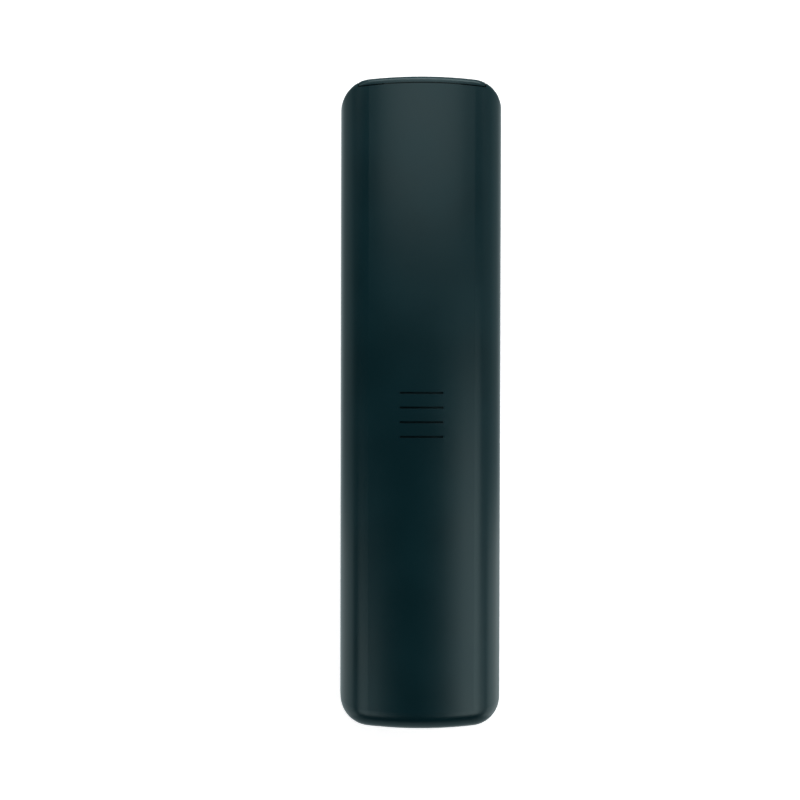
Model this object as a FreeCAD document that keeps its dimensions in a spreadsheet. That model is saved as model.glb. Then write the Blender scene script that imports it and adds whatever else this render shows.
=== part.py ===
"""A voice remote control lying on its front: back up, infrared end towards +Y.

Heights run from the flat rim of the front (z = 0) through the keys, the mat, the board and the
cells to the crown of the back. Lengths are millimetres, angles are degrees. Seen from the front,
the viewer's left is +X.
"""
import FreeCAD, Part
import math
import os
import re
import Sketcher
from FreeCAD import Vector

os.makedirs("parts", exist_ok=True)
doc = FreeCAD.newDocument("voice_remote")

# Driving dimensions: name, value, meaning
SIZES = (
    ("body_length", 156.0, "overall length"),
    ("body_half", 19.15, "half of the overall width"),
    ("corner_top", 7.4, "plan radius of the corners at the infrared end"),
    ("corner_bottom", 7.0, "plan radius of the corners at the cell end"),
    ("arch_top", 120.0, "plan radius of the bowed infrared end"),
    ("arch_bottom", 140.0, "plan radius of the bowed cell end"),
    ("crown_radius", 60.0, "section radius of the back"),
    ("shoulder_radius", 8.2, "section radius between the back and the sides"),
    ("roll_top", 1.0, "edge radius of the back at the infrared end"),
    ("roll_bottom", 4.0, "edge radius of the back at the cell end"),
    ("front_round", 1.1, "edge radius of the front rim"),
    ("rim_width", 2.2, "width of the rim around the face panel"),
    ("case_wall", 1.5, "wall of the front case"),
    ("cover_wall", 1.4, "wall of the cover"),
    ("parting_gap", 0.15, "gap between the case and the cover"),
    ("parting_rise", 0.25, "height of the parting line above the board"),
    ("seam_inset", 1.3, "width of the strip of case beyond the cover's top edge"),
    ("seam_gap", 0.25, "open width of the seam at that edge"),
    ("seam_half", 15.0, "half length of that strip"),
    ("tab_half", 9.0, "half length of the tab under the cover's top edge"),
    ("tab_reach", 1.4, "reach of that tab from the end wall"),
    ("tab_thick", 1.1, "thickness of that tab"),
    ("tab_drop", 1.1, "drop of that tab below the crown's inner face"),
    ("grip_width", 10.4, "length of a grip groove across the back"),
    ("grip_slot", 0.5, "width of a grip groove"),
    ("grip_depth", 0.6, "depth of a grip groove"),
    ("grip_pitch", 3.5, "distance from one grip groove to the next"),
    ("grip_first", 75.55, "distance of the first grip groove from the infrared end"),
    ("hook_length", 8.0, "length of a cover hook"),
    ("hook_thick", 1.0, "thickness of a cover hook"),
    ("hook_reach", 0.7, "reach of a cover hook from the cover's wall"),
    ("hook_pitch", 25.0, "distance from one cover hook to the next"),
    ("rail_thick", 0.8, "thickness of a cover rail's ledge"),
    ("rail_wall", 0.8, "wall below that ledge"),
    ("rail_rise", 1.9, "height of the ledge above the chassis"),
    ("rail_gap", 0.25, "gap around the ledge"),
    ("panel_sink", 0.9, "depth of the face panel below the rim"),
    ("panel_thick", 0.6, "thickness of the face panel"),
    ("panel_gap", 0.1, "gap around the face panel"),
    ("floor_thick", 0.7, "front wall of the case behind the panel"),
    ("key_sink", 0.2, "depth of the keys' faces below the rim"),
    ("key_travel", 0.6, "travel of a key"),
    ("key_gap", 0.25, "gap around a key in its opening"),
    ("key_round", 0.35, "edge radius of a key"),
    ("flange_thick", 0.6, "thickness of a key's flange"),
    ("flange_margin", 0.7, "overhang of a key's flange"),
    ("flange_gap", 0.1, "gap between a key's flange and the case"),
    ("plunger_radius", 1.3, "radius of a key's plunger"),
    ("plunger_gap", 0.2, "gap around a plunger in the mat"),
    ("press_gap", 0.05, "gap left between a pressed plunger and the board"),
    ("collar_gap", 0.1, "gap left between a pressed key and its collar"),
    ("collar_height", 0.4, "height of a mat collar"),
    ("collar_wall", 0.9, "wall of a mat collar"),
    ("mat_thick", 0.6, "thickness of the keypad mat"),
    ("mat_side", 4.1, "distance of the keypad mat from the sides"),
    ("mat_top", 15.0, "distance of the mat from the infrared end"),
    ("mat_foot", 6.7, "distance of the mat's lower end from the middle of the shortcut keys"),
    ("board_thick", 1.0, "thickness of the circuit board"),
    ("board_side", 3.0, "distance of the circuit board from the sides"),
    ("board_top", 4.5, "distance of the board from the infrared end"),
    ("board_bottom", 5.0, "distance of the board from the cell end"),
    ("board_corner", 4.5, "corner radius of the circuit board"),
    ("key_side", 7.5, "distance of the outer key columns from the sides"),
    ("power_row", 18.0, "distance of the power key from the infrared end"),
    ("voice_pitch", 12.5, "distance from the power key to the voice key's row"),
    ("ring_pitch", 21.5, "distance from the voice key to the direction ring"),
    ("menu_pitch", 21.5, "distance from the direction ring to the menu row"),
    ("rocker_pitch", 16.5, "distance from the menu row to the rockers"),
    ("number_pitch", 17.5, "distance from the rockers to the first number row"),
    ("number_step", 7.0, "distance from one number row to the next"),
    ("shortcut_pitch", 10.0, "distance from the last number row to the shortcut keys"),
    ("power_radius", 4.5, "radius of the power key"),
    ("voice_radius", 4.75, "radius of the voice key"),
    ("small_radius", 4.1, "radius of the other round keys"),
    ("ok_radius", 6.3, "radius of the OK key"),
    ("ring_radius", 14.5, "outer radius of the direction ring"),
    ("ring_bore_gap", 0.4, "gap between the direction ring and the OK key"),
    ("ok_overlap", 0.5, "overlap of the OK key's flange behind the direction ring"),
    ("ok_flange_gap", 0.4, "gap between that flange and the ring"),
    ("rebate_gap", 0.7, "gap around that flange"),
    ("ring_flange_gap", 0.65, "gap between the ring's flange and the case"),
    ("ring_flange_thick", 0.45, "thickness of the ring's flange"),
    ("ring_plunger_place", 12.2, "distance of the ring's plungers from its middle"),
    ("ring_plunger_gap", 0.45, "gap between the ring's plungers and the board"),
    ("pivot_outer", 10.3, "outer radius of the gimbal"),
    ("pivot_inner", 8.2, "inner radius of the gimbal"),
    ("pivot_thick", 0.4, "thickness of the gimbal's web"),
    ("pivot_ridge", 0.8, "width of a gimbal ridge"),
    ("number_half_width", 4.5, "half width of a number key"),
    ("number_half_height", 2.5, "half height of a number key"),
    ("number_corner", 2.3, "corner radius of a number key"),
    ("shortcut_side", 10.4, "distance of the shortcut keys from the sides"),
    ("shortcut_half_width", 7.0, "half width of a shortcut key"),
    ("shortcut_half_height", 2.75, "half height of a shortcut key"),
    ("rocker_half_width", 4.25, "half width of a rocker"),
    ("rocker_half_height", 10.0, "half height of a rocker"),
    ("rocker_corner", 4.1, "corner radius of a rocker"),
    ("rocker_gap", 0.3, "gap around a rocker in its opening"),
    ("rocker_ear", 1.0, "half height of a rocker's ears"),
    ("rocker_plunger_place", 6.5, "distance of a rocker's plungers from its middle"),
    ("rocker_plunger_gap", 0.35, "gap between a rocker's plungers and the board"),
    ("rib_half_length", 3.0, "half length of the mat rib under a rocker"),
    ("rib_half_width", 0.6, "half width of that rib"),
    ("light_radius", 0.8, "radius of the light pipe"),
    ("light_row", 16.0, "distance of the light pipe from the infrared end"),
    ("light_gap", 0.1, "gap around the light pipe"),
    ("light_collar", 1.5, "radius of the light pipe's collar"),
    ("light_collar_thick", 0.6, "thickness of that collar"),
    ("microphone_row", 22.3, "distance of the microphone hole from the infrared end"),
    ("microphone_hole", 0.5, "radius of the microphone hole"),
    ("seal_radius", 1.7, "outer radius of the microphone's seal"),
    ("seal_bore", 0.6, "bore radius of that seal"),
    ("seat_gap", 0.05, "gap between parts that rest on one another"),
    ("chassis_gap", 0.1, "gap between the board and the chassis"),
    ("chassis_thick", 0.7, "thickness of the chassis"),
    ("chassis_edge", 2.0, "distance of the chassis from the outline"),
    ("chassis_top", 4.3, "distance of the chassis from the infrared end"),
    ("chassis_wall", 0.85, "walls of the chassis"),
    ("bay_from_end", 8.2, "distance of the cell bay from the cell end"),
    ("bay_side_rise", 5.8, "height of the cell bay's side walls above the chassis"),
    ("bay_end_rise", 8.6, "height of the cell bay's end walls above the chassis"),
    ("cell_radius", 5.15, "radius of a cell"),
    ("cell_length", 44.5, "length of a cell over its button"),
    ("cell_button", 1.9, "radius of a cell's button"),
    ("cell_button_rise", 0.8, "height of a cell's button"),
    ("cell_round", 0.4, "edge radius of a cell"),
    ("cell_offset", 5.3, "distance of a cell's axis from the middle"),
    ("cell_gap", 0.1, "gap between a cell and the chassis"),
    ("cell_side_gap", 0.3, "gap between a cell and the bay's side wall"),
    ("crown_gap", 0.3, "gap between the cells and the cover"),
    ("cradle_width", 1.2, "thickness of a cradle rib"),
    ("cradle_rise", 1.2, "height of a cradle rib"),
    ("cradle_reach", 1.5, "reach of a cradle rib from the bay's side wall"),
    ("keel_half", 0.6, "half width of the keel between the cells"),
    ("keel_rise", 1.8, "height of that keel"),
    ("contact_thick", 0.3, "thickness of a contact plate"),
    ("contact_gap", 0.1, "gap between a cell's button and its contact"),
    ("contact_half", 4.0, "half width of a contact plate"),
    ("contact_rise", 8.0, "height of a contact plate above the chassis"),
    ("tail_half", 0.8, "half width of a contact's solder tail"),
    ("spring_length", 4.9, "length of a contact spring"),
    ("spring_base", 3.2, "radius of a spring's first turn"),
    ("spring_tip", 1.9, "radius of a spring's last turn"),
    ("spring_wire", 0.3, "radius of the spring wire"),
    ("spring_turns", 4.0, "turns of a contact spring"),
    ("housing_top", 17.0, "distance of the raised housing from the infrared end"),
    ("housing_drop", 1.2, "drop of that housing below the crown's inner face"),
    ("housing_round", 3.0, "edge radius of that housing"),
    ("screw_side", 4.8, "distance of the screws from the sides"),
    ("screw_top", 9.0, "distance of the upper screws from the infrared end"),
    ("screw_bottom", 8.0, "distance of the lower screws from the cell end"),
    ("screw_head", 1.9, "radius of a screw's head"),
    ("screw_head_rise", 1.2, "height of a screw's head"),
    ("screw_round", 0.5, "edge radius of a screw's head"),
    ("screw_shank", 0.75, "radius of a screw's shank"),
    ("screw_length", 3.4, "length of a screw's shank"),
    ("screw_slot", 0.7, "width of the cross in a screw's head"),
    ("screw_slot_half", 1.1, "half length of that cross"),
    ("screw_slot_depth", 0.7, "depth of that cross"),
    ("post_radius", 2.2, "radius of a screw post"),
    ("post_gap", 0.3, "gap around a screw post"),
    ("window_rise", 0.35, "height of the window above the parting line"),
    ("window_height", 6.0, "height of the infrared window"),
    ("window_half", 9.0, "half width of the infrared window"),
    ("window_corner", 1.0, "corner radius of the infrared window"),
    ("window_gap", 0.1, "gap around the window"),
    ("window_flange", 0.8, "overhang and thickness of the window's flange"),
    ("emitter_radius", 2.5, "radius of the infrared emitter"),
    ("emitter_flange", 2.9, "radius of its flange"),
    ("emitter_length", 8.6, "length of its body"),
    ("emitter_gap", 0.3, "gap between its lens and the window"),
    ("lead_half", 0.25, "half thickness of a lead"),
    ("lead_spread", 1.27, "distance of a lead from the middle"),
    ("lead_run", 1.6, "straight run of a lead behind the body"),
    ("lead_gap", 0.15, "gap around a lead in the board"),
    ("lead_proud", 0.2, "length of a lead beyond the board"),
    ("chip_round", 0.1, "edge radius of a board component"),
    ("radio_side", 6.0, "side of the radio chip"),
    ("radio_thick", 0.9, "thickness of the radio chip"),
    ("crystal_width", 3.2, "width of the crystal"),
    ("crystal_length", 2.5, "length of the crystal"),
    ("crystal_thick", 0.7, "thickness of the crystal"),
    ("capacitor_radius", 2.5, "radius of the capacitor"),
    ("capacitor_height", 5.5, "height of the capacitor"),
    ("capacitor_column", 5.5, "distance of the capacitor from the middle"),
    ("small_width", 0.8, "width of a small component"),
    ("small_length", 1.6, "length of a small component"),
    ("small_thick", 0.5, "thickness of a small component"),
    ("small_pitch", 2.4, "distance from one small component to the next"),
    ("diode_width", 1.6, "width of the status diode"),
    ("diode_length", 0.8, "length of the status diode"),
    ("diode_thick", 0.6, "thickness of the status diode"),
    ("microphone_width", 3.8, "width of the microphone"),
    ("microphone_length", 2.9, "length of the microphone"),
    ("microphone_thick", 1.1, "thickness of the microphone"),
    ("overrun", 1.0, "reach of a cutting shape beyond what it cuts"),
)
sheet = doc.addObject("Spreadsheet::Sheet", "dims")
for row, (alias, number, meaning) in enumerate(SIZES, start=1):
    sheet.set(f"A{row}", alias)
    sheet.set(f"B{row}", str(number))
    sheet.setAlias(f"B{row}", alias)
    sheet.set(f"C{row}", meaning)
doc.recompute()

ALIAS = re.compile(r"\b(" + "|".join(alias for alias, number, meaning in SIZES) + r")\b")
UP = Vector(0, 0, 1)
NEAR = 0.01  # millimetres: how closely an edge must lie to where it is looked for
pieces = []


def bound(text):
    """Point each size that an expression names to its cell in the sheet."""
    return ALIAS.sub(r"dims.\1", text)


def value(text):
    """The number that an expression gives."""
    return float(sheet.evalExpression(bound(text)))


# Heights through the stack, from the rim of the front to the crown of the back
floor_front = "(panel_sink + panel_thick)"
floor_back = f"({floor_front} + floor_thick)"
flange_front = f"({floor_back} + flange_gap)"
flange_back = f"({flange_front} + flange_thick)"
collar_front = f"({flange_back} + key_travel + collar_gap)"
mat_front = f"({collar_front} + collar_height)"
board_front = f"({mat_front} + mat_thick)"
board_back = f"({board_front} + board_thick)"
chassis_front = f"({board_back} + chassis_gap)"
chassis_back = f"({chassis_front} + chassis_thick)"
cell_height = f"({chassis_back} + cell_gap + cell_radius)"
parting = f"({board_back} + parting_rise)"
crown_reach = "(crown_radius - cover_wall - crown_gap - cell_radius)"
crown_centre = f"({cell_height} - sqrt({crown_reach} ^ 2 - cell_offset ^ 2))"
crown = f"({crown_centre} + crown_radius)"

# Places along the length
top_end = "(body_length / 2)"
bottom_end = "(-body_length / 2)"
power_y = f"({top_end} - power_row)"
voice_y = f"({power_y} - voice_pitch)"
ring_y = f"({voice_y} - ring_pitch)"
menu_y = f"({ring_y} - menu_pitch)"
rocker_y = f"({menu_y} - rocker_pitch)"
number_y = f"({rocker_y} - number_pitch)"
shortcut_y = f"({number_y} - 3 * number_step - shortcut_pitch)"
light_y = f"({top_end} - light_row)"
microphone_y = f"({top_end} - microphone_row)"
bay_bottom = f"({bottom_end} + bay_from_end)"
bay_length = "(2 * contact_thick + contact_gap + cell_length + seat_gap + spring_length)"
bay_top = f"({bay_bottom} + {bay_length})"
bay_half = "(cell_offset + cell_radius + cell_side_gap)"
housing_end = f"({top_end} - housing_top)"
corner_line = f"({top_end} - corner_top - seam_inset)"
corner_height = f"({chassis_back} + rail_rise + rail_thick + rail_gap)"
window_back = f"({top_end} - case_wall - 2 * window_flange)"
window_middle = f"({parting} + window_rise + window_height / 2)"
emitter_back = f"({window_back} - emitter_gap - emitter_length)"
lead_y = f"({emitter_back} - lead_run)"

# Places across the width
key_column = "(body_half - key_side)"
shortcut_column = "(body_half - shortcut_side)"
screw_column = "(body_half - screw_side)"

# Keys: name, x, y and the half width, half height and corner radius of an oblong key
ROUND_KEYS = (
    ("power_key", key_column, power_y, "power_radius"),
    ("settings_key", key_column, voice_y, "small_radius"),
    ("voice_key", "0", voice_y, "voice_radius"),
    ("input_key", f"-{key_column}", voice_y, "small_radius"),
    ("back_key", key_column, menu_y, "small_radius"),
    ("home_key", "0", menu_y, "small_radius"),
    ("menu_key", f"-{key_column}", menu_y, "small_radius"),
    ("mute_key", "0", rocker_y, "small_radius"),
)
NUMBER_ROWS = (
    ("number_key_1", "number_key_2", "number_key_3"),
    ("number_key_4", "number_key_5", "number_key_6"),
    ("number_key_7", "number_key_8", "number_key_9"),
    ("list_key", "number_key_0", "return_key"),
)
NUMBER_SHAPE = ("number_half_width", "number_half_height", "number_corner")
OBLONG_KEYS = tuple(
    (name, f"{1 - column} * {key_column}", f"({number_y} - {row} * number_step)") + NUMBER_SHAPE
    for row, names in enumerate(NUMBER_ROWS)
    for column, name in enumerate(names)
) + tuple(
    (name, x, shortcut_y, "shortcut_half_width", "shortcut_half_height", "number_corner")
    for name, x in (("shortcut_key_left", shortcut_column), ("shortcut_key_right", f"-{shortcut_column}"))
)
ROCKERS = (("volume_rocker", key_column), ("channel_rocker", f"-{key_column}"))
CROSS = ((1, 0), (0, 1), (-1, 0), (0, -1))
ring_bore = "(ok_radius + ring_bore_gap)"
pill_front = f"({board_front} - press_gap - key_travel)"


def keep(item, label):
    """List a finished object as a piece of the handset under its own name."""
    item.Label = label
    pieces.append(item)
    return item


def new_body(name):
    return doc.addObject("PartDesign::Body", name)


def origin_part(body, role):
    return next(feature for feature in body.Origin.OriginFeatures if feature.Role == role)


def place(item, x="0", y="0", z="0"):
    """Bind an object's position to three expressions."""
    for axis, text in (("x", x), ("y", y), ("z", z)):
        item.setExpression(f".Placement.Base.{axis}", bound(text))


def new_sketch(body, role="XY_Plane", height="0"):
    """A sketch on one of the body's own planes, moved off it by a height."""
    sketch = body.newObject("Sketcher::SketchObject", body.Name + "_sketch")
    sketch.AttachmentSupport = (origin_part(body, role), [""])
    sketch.MapMode = "FlatFace"
    sketch.setExpression(".AttachmentOffset.Base.z", bound(height))
    return sketch


def bind(sketch, constraint, text):
    index = sketch.addConstraint(constraint)
    sketch.setExpression(f"Constraints[{index}]", bound(text))


def pin(sketch, shape, point, x=None, y=None):
    """Hold a point of a sketch at the coordinates that expressions give."""
    for kind, text in (("DistanceX", x), ("DistanceY", y)):
        if text is not None:
            bind(sketch, Sketcher.Constraint(kind, -1, 1, shape, point, value(text)), text)


def circle(sketch, x, y, radius):
    """A circle held by its centre and radius."""
    ring = Part.Circle(Vector(value(x), value(y), 0), UP, value(radius))
    index = sketch.addGeometry(ring, False)
    pin(sketch, index, 3, x, y)
    bind(sketch, Sketcher.Constraint("Radius", index, value(radius)), radius)


def polygon(sketch, corners):
    """A closed outline of straight edges whose corners are pairs of expressions."""
    points = [Vector(value(x), value(y), 0) for x, y in corners]
    edges = [Part.LineSegment(p, q) for p, q in zip(points, points[1:] + points[:1])]
    indices = sketch.addGeometry(edges, False)
    for k, (x, y) in enumerate(corners):
        sketch.addConstraint(Sketcher.Constraint("Coincident", indices[k - 1], 2, indices[k], 1))
        pin(sketch, indices[k], 1, x, y)


def rectangle(sketch, left, bottom, right, top):
    polygon(sketch, [(left, bottom), (right, bottom), (right, top), (left, top)])


def arc(centre, radius, start, end):
    """An arc from the angle start to the angle end, counted from +X."""
    return Part.ArcOfCircle(Part.Circle(centre, UP, radius), start, end)


def rounded(sketch, x, y, half_width, half_height, corner):
    """A rectangle with round corners: arcs held by centre and radius, joined by tangent lines."""
    radius = value(corner)
    centres = []
    for side, end in ((1, 1), (-1, 1), (-1, -1), (1, -1)):
        centre_x = f"{x} + {side} * ({half_width} - {corner})"
        centres.append((centre_x, f"{y} + {end} * ({half_height} - {corner})"))
    points = [Vector(value(u), value(v), 0) for u, v in centres]
    quarter = math.pi / 2
    arcs = [arc(point, radius, k * quarter, (k + 1) * quarter) for k, point in enumerate(points)]
    lines = []
    for k in range(4):
        lines.append(Part.LineSegment(arcs[k].EndPoint, arcs[(k + 1) % 4].StartPoint))
    indices = sketch.addGeometry(arcs + lines, False)
    for k, (u, v) in enumerate(centres):
        pin(sketch, indices[k], 3, u, v)
        bind(sketch, Sketcher.Constraint("Radius", indices[k], radius), corner)
        sketch.addConstraint(Sketcher.Constraint("Tangent", indices[k], 2, indices[4 + k], 1))
        sketch.addConstraint(Sketcher.Constraint("Tangent", indices[4 + k], 2, indices[(k + 1) % 4], 1))


def outline(sketch, side, top, bottom):
    """The handset's plan, drawn in by a distance from its sides, its top end and its bottom end.

    Two straight sides, two bowed ends and four corner arcs, each tangent to the next.
    """
    half = f"(body_half - {side})"
    ends = {1: (f"({top_end} - {top})", f"(corner_top - {side})", f"(arch_top - {top})"),
            -1: (f"({bottom_end} + {bottom})", f"(corner_bottom - {side})", f"(arch_bottom - {bottom})")}
    half_width = value(half)
    corner_y = {}
    turn = {}
    centre = {}
    for way, (apex, corner, arch) in ends.items():
        centre[way] = f"{apex} - {way} * {arch}"
        reach = value(arch) - value(corner)
        across = half_width - value(corner)
        corner_y[way] = value(centre[way]) + way * math.sqrt(reach ** 2 - across ** 2)
        turn[way] = math.acos(across / reach)
    top_corner = value(ends[1][1])
    bottom_corner = value(ends[-1][1])
    lines = {0: Part.LineSegment(Vector(half_width, corner_y[-1], 0), Vector(half_width, corner_y[1], 0)),
             4: Part.LineSegment(Vector(-half_width, corner_y[1], 0), Vector(-half_width, corner_y[-1], 0))}
    shapes = [
        lines[0],
        arc(Vector(half_width - top_corner, corner_y[1], 0), top_corner, 0, turn[1]),
        arc(Vector(0, value(centre[1]), 0), value(ends[1][2]), turn[1], math.pi - turn[1]),
        arc(Vector(top_corner - half_width, corner_y[1], 0), top_corner, math.pi - turn[1], math.pi),
        lines[4],
        arc(Vector(bottom_corner - half_width, corner_y[-1], 0), bottom_corner, math.pi, math.pi + turn[-1]),
        arc(Vector(0, value(centre[-1]), 0), value(ends[-1][2]), math.pi + turn[-1], 2 * math.pi - turn[-1]),
        arc(Vector(half_width - bottom_corner, corner_y[-1], 0), bottom_corner, -turn[-1], 0),
    ]
    indices = sketch.addGeometry(shapes, False)
    for k in range(8):
        sketch.addConstraint(Sketcher.Constraint("Tangent", indices[k], 2, indices[(k + 1) % 8], 1))
    for k, way, hand in ((1, 1, 1), (3, 1, -1), (5, -1, -1), (7, -1, 1)):
        corner = ends[way][1]
        bind(sketch, Sketcher.Constraint("Radius", indices[k], value(corner)), corner)
        pin(sketch, indices[k], 3, x=f"{hand} * ({half} - {corner})")
    for k, way in ((2, 1), (6, -1)):
        arch = ends[way][2]
        bind(sketch, Sketcher.Constraint("Radius", indices[k], value(arch)), arch)
        pin(sketch, indices[k], 3, "0", centre[way])


def section(sketch, inset, base):
    """The handset's cross-section, drawn in by a distance: upright sides, round shoulders, crown."""
    half = f"(body_half - {inset})"
    shoulder = f"(shoulder_radius - {inset})"
    bow = f"(crown_radius - {inset})"
    half_width, radius, reach = value(half), value(shoulder), value(bow)
    foot, centre = value(base), value(crown_centre)
    shoulder_z = centre + math.sqrt((reach - radius) ** 2 - (half_width - radius) ** 2)
    turn = math.acos((half_width - radius) / (reach - radius))
    shapes = [
        Part.LineSegment(Vector(-half_width, foot, 0), Vector(half_width, foot, 0)),
        Part.LineSegment(Vector(half_width, foot, 0), Vector(half_width, shoulder_z, 0)),
        arc(Vector(half_width - radius, shoulder_z, 0), radius, 0, turn),
        arc(Vector(0, centre, 0), reach, turn, math.pi - turn),
        arc(Vector(radius - half_width, shoulder_z, 0), radius, math.pi - turn, math.pi),
        Part.LineSegment(Vector(-half_width, shoulder_z, 0), Vector(-half_width, foot, 0)),
    ]
    indices = sketch.addGeometry(shapes, False)
    for k in range(1, 5):
        sketch.addConstraint(Sketcher.Constraint("Tangent", indices[k], 2, indices[k + 1], 1))
    for k in (0, 5):
        sketch.addConstraint(Sketcher.Constraint("Coincident", indices[k], 2, indices[(k + 1) % 6], 1))
    sketch.addConstraint(Sketcher.Constraint("Horizontal", indices[0]))
    for k in (1, 5):
        sketch.addConstraint(Sketcher.Constraint("Vertical", indices[k]))
    pin(sketch, indices[0], 1, y=base)
    for k, hand in ((2, 1), (4, -1)):
        bind(sketch, Sketcher.Constraint("Radius", indices[k], radius), shoulder)
        pin(sketch, indices[k], 3, x=f"{hand} * ({half} - {shoulder})")
    bind(sketch, Sketcher.Constraint("Radius", indices[3], reach), bow)
    pin(sketch, indices[3], 3, "0", crown_centre)


def feature(body, kind, sketch, length, symmetric=False, reversed_way=False):
    """A pad or a pocket of a sketch; one that changes nothing stops the build."""
    before = body.Shape.Volume if body.Tip else 0.0
    item = body.newObject("PartDesign::" + kind, body.Name + "_" + kind.lower())
    item.Profile = sketch
    item.setExpression("Length", bound(length))
    item.Reversed = reversed_way
    if symmetric:
        item.SideType = "Symmetric"
    doc.recompute()
    change = body.Shape.Volume - before
    if (change <= 0) == (kind == "Pad"):
        raise RuntimeError(f"{item.Name} changes the volume by {change:.3f}")
    return item


def pad(body, sketch, length, **options):
    return feature(body, "Pad", sketch, length, **options)


def pocket(body, sketch, length, **options):
    return feature(body, "Pocket", sketch, length, **options)


def cut_up(body, draw, height, length):
    """Cut a drawn shape upwards from a height."""
    sketch = new_sketch(body, "XY_Plane", height)
    draw(sketch)
    return pocket(body, sketch, length, reversed_way=True)


def fillet(body, base, radius, chosen):
    """Round the edges of a feature that a test picks."""
    names = [f"Edge{k}" for k, edge in enumerate(base.Shape.Edges, start=1) if chosen(edge)]
    item = body.newObject("PartDesign::Fillet", body.Name + "_fillet")
    item.Base = (base, names)
    item.setExpression("Radius", bound(radius))
    doc.recompute()
    return item


def revolve(body, corners, axis):
    """Turn a half section, drawn on the XY or XZ plane, about one of the body's own axes."""
    sketch = new_sketch(body, "XZ_Plane" if axis == "Z_Axis" else "XY_Plane")
    polygon(sketch, corners)
    item = body.newObject("PartDesign::Revolution", body.Name + "_revolution")
    item.Profile = sketch
    item.ReferenceAxis = (origin_part(body, axis), [""])
    item.Angle = 360
    doc.recompute()
    return item


def end_edges(way, lowest):
    """A test for the short edges at one end that lie wholly above a height."""
    limit = value("body_half") * 2
    return lambda edge: (edge.CenterOfMass.y * way > value(top_end) - limit
                         and edge.BoundBox.ZMin > lowest and edge.BoundBox.YLength < limit)


def trim_to_section(body, base):
    """Cut away what lies outside the handset's cross-section."""
    sketch = new_sketch(body, "XZ_Plane")
    section(sketch, "0", base)
    margin = "shoulder_radius"
    rectangle(sketch, f"-body_half - {margin}", f"{base} - {margin}", f"body_half + {margin}",
              f"{crown} + {margin}")
    return pocket(body, sketch, f"body_length + 2 * {margin}", symmetric=True)


def seam_plan(sketch, gap, end):
    """The plan of the strip beyond the seam: a bowed inner edge, straight sides and a far end."""
    half = f"(seam_half + {gap})"
    bow = f"(arch_top - seam_inset - {gap})"
    centre = f"({top_end} - arch_top)"
    side, reach, middle, far = value(half), value(bow), value(centre), value(end)
    turn = math.acos(side / reach)
    near = middle + math.sqrt(reach ** 2 - side ** 2)
    corners = [Vector(side, near, 0), Vector(side, far, 0), Vector(-side, far, 0), Vector(-side, near, 0)]
    shapes = [Part.LineSegment(p, q) for p, q in zip(corners, corners[1:])]
    shapes.append(arc(Vector(0, middle, 0), reach, turn, math.pi - turn))
    indices = sketch.addGeometry(shapes, False)
    for first, end_point, second, start_point in ((0, 2, 1, 1), (1, 2, 2, 1), (2, 2, 3, 2), (3, 1, 0, 1)):
        sketch.addConstraint(
            Sketcher.Constraint("Coincident", indices[first], end_point, indices[second], start_point))
    bind(sketch, Sketcher.Constraint("Radius", indices[3], reach), bow)
    pin(sketch, indices[3], 3, "0", centre)
    pin(sketch, indices[0], 2, half, end)
    pin(sketch, indices[1], 2, f"-{half}", end)
    pin(sketch, indices[0], 1, x=half)
    pin(sketch, indices[2], 2, x=f"-{half}")


def key_openings(sketch, gap):
    """The round openings for the keys, the direction ring, the light pipe and the microphone."""
    for name, x, y, radius in ROUND_KEYS:
        circle(sketch, x, y, f"{radius} + {gap}")
    circle(sketch, "0", ring_y, "ring_radius + rocker_gap")
    circle(sketch, "0", light_y, "light_radius + light_gap")
    circle(sketch, "0", microphone_y, "microphone_hole")


def cut_key_openings(body, height, length):
    """Cut the openings of every key upwards through a plate."""
    cut_up(body, lambda sketch: key_openings(sketch, "key_gap"), height, length)
    for start in range(0, len(OBLONG_KEYS), 3):
        sketch = new_sketch(body, "XY_Plane", height)
        for name, x, y, half_width, half_height, corner in OBLONG_KEYS[start:start + 3]:
            rounded(sketch, x, y, f"({half_width} + key_gap)", f"({half_height} + key_gap)",
                    f"({corner} + key_gap)")
        pocket(body, sketch, length, reversed_way=True)
    sketch = new_sketch(body, "XY_Plane", height)
    for name, x in ROCKERS:
        rounded(sketch, x, rocker_y, "(rocker_half_width + rocker_gap)",
                "(rocker_half_height + rocker_gap)", "(rocker_corner + rocker_gap)")
    pocket(body, sketch, length, reversed_way=True)


def screw_places():
    """The x and y expressions of the four screws."""
    for y in (f"({top_end} - screw_top)", f"({bottom_end} + screw_bottom)"):
        for x in (screw_column, f"-{screw_column}"):
            yield x, y


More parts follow.
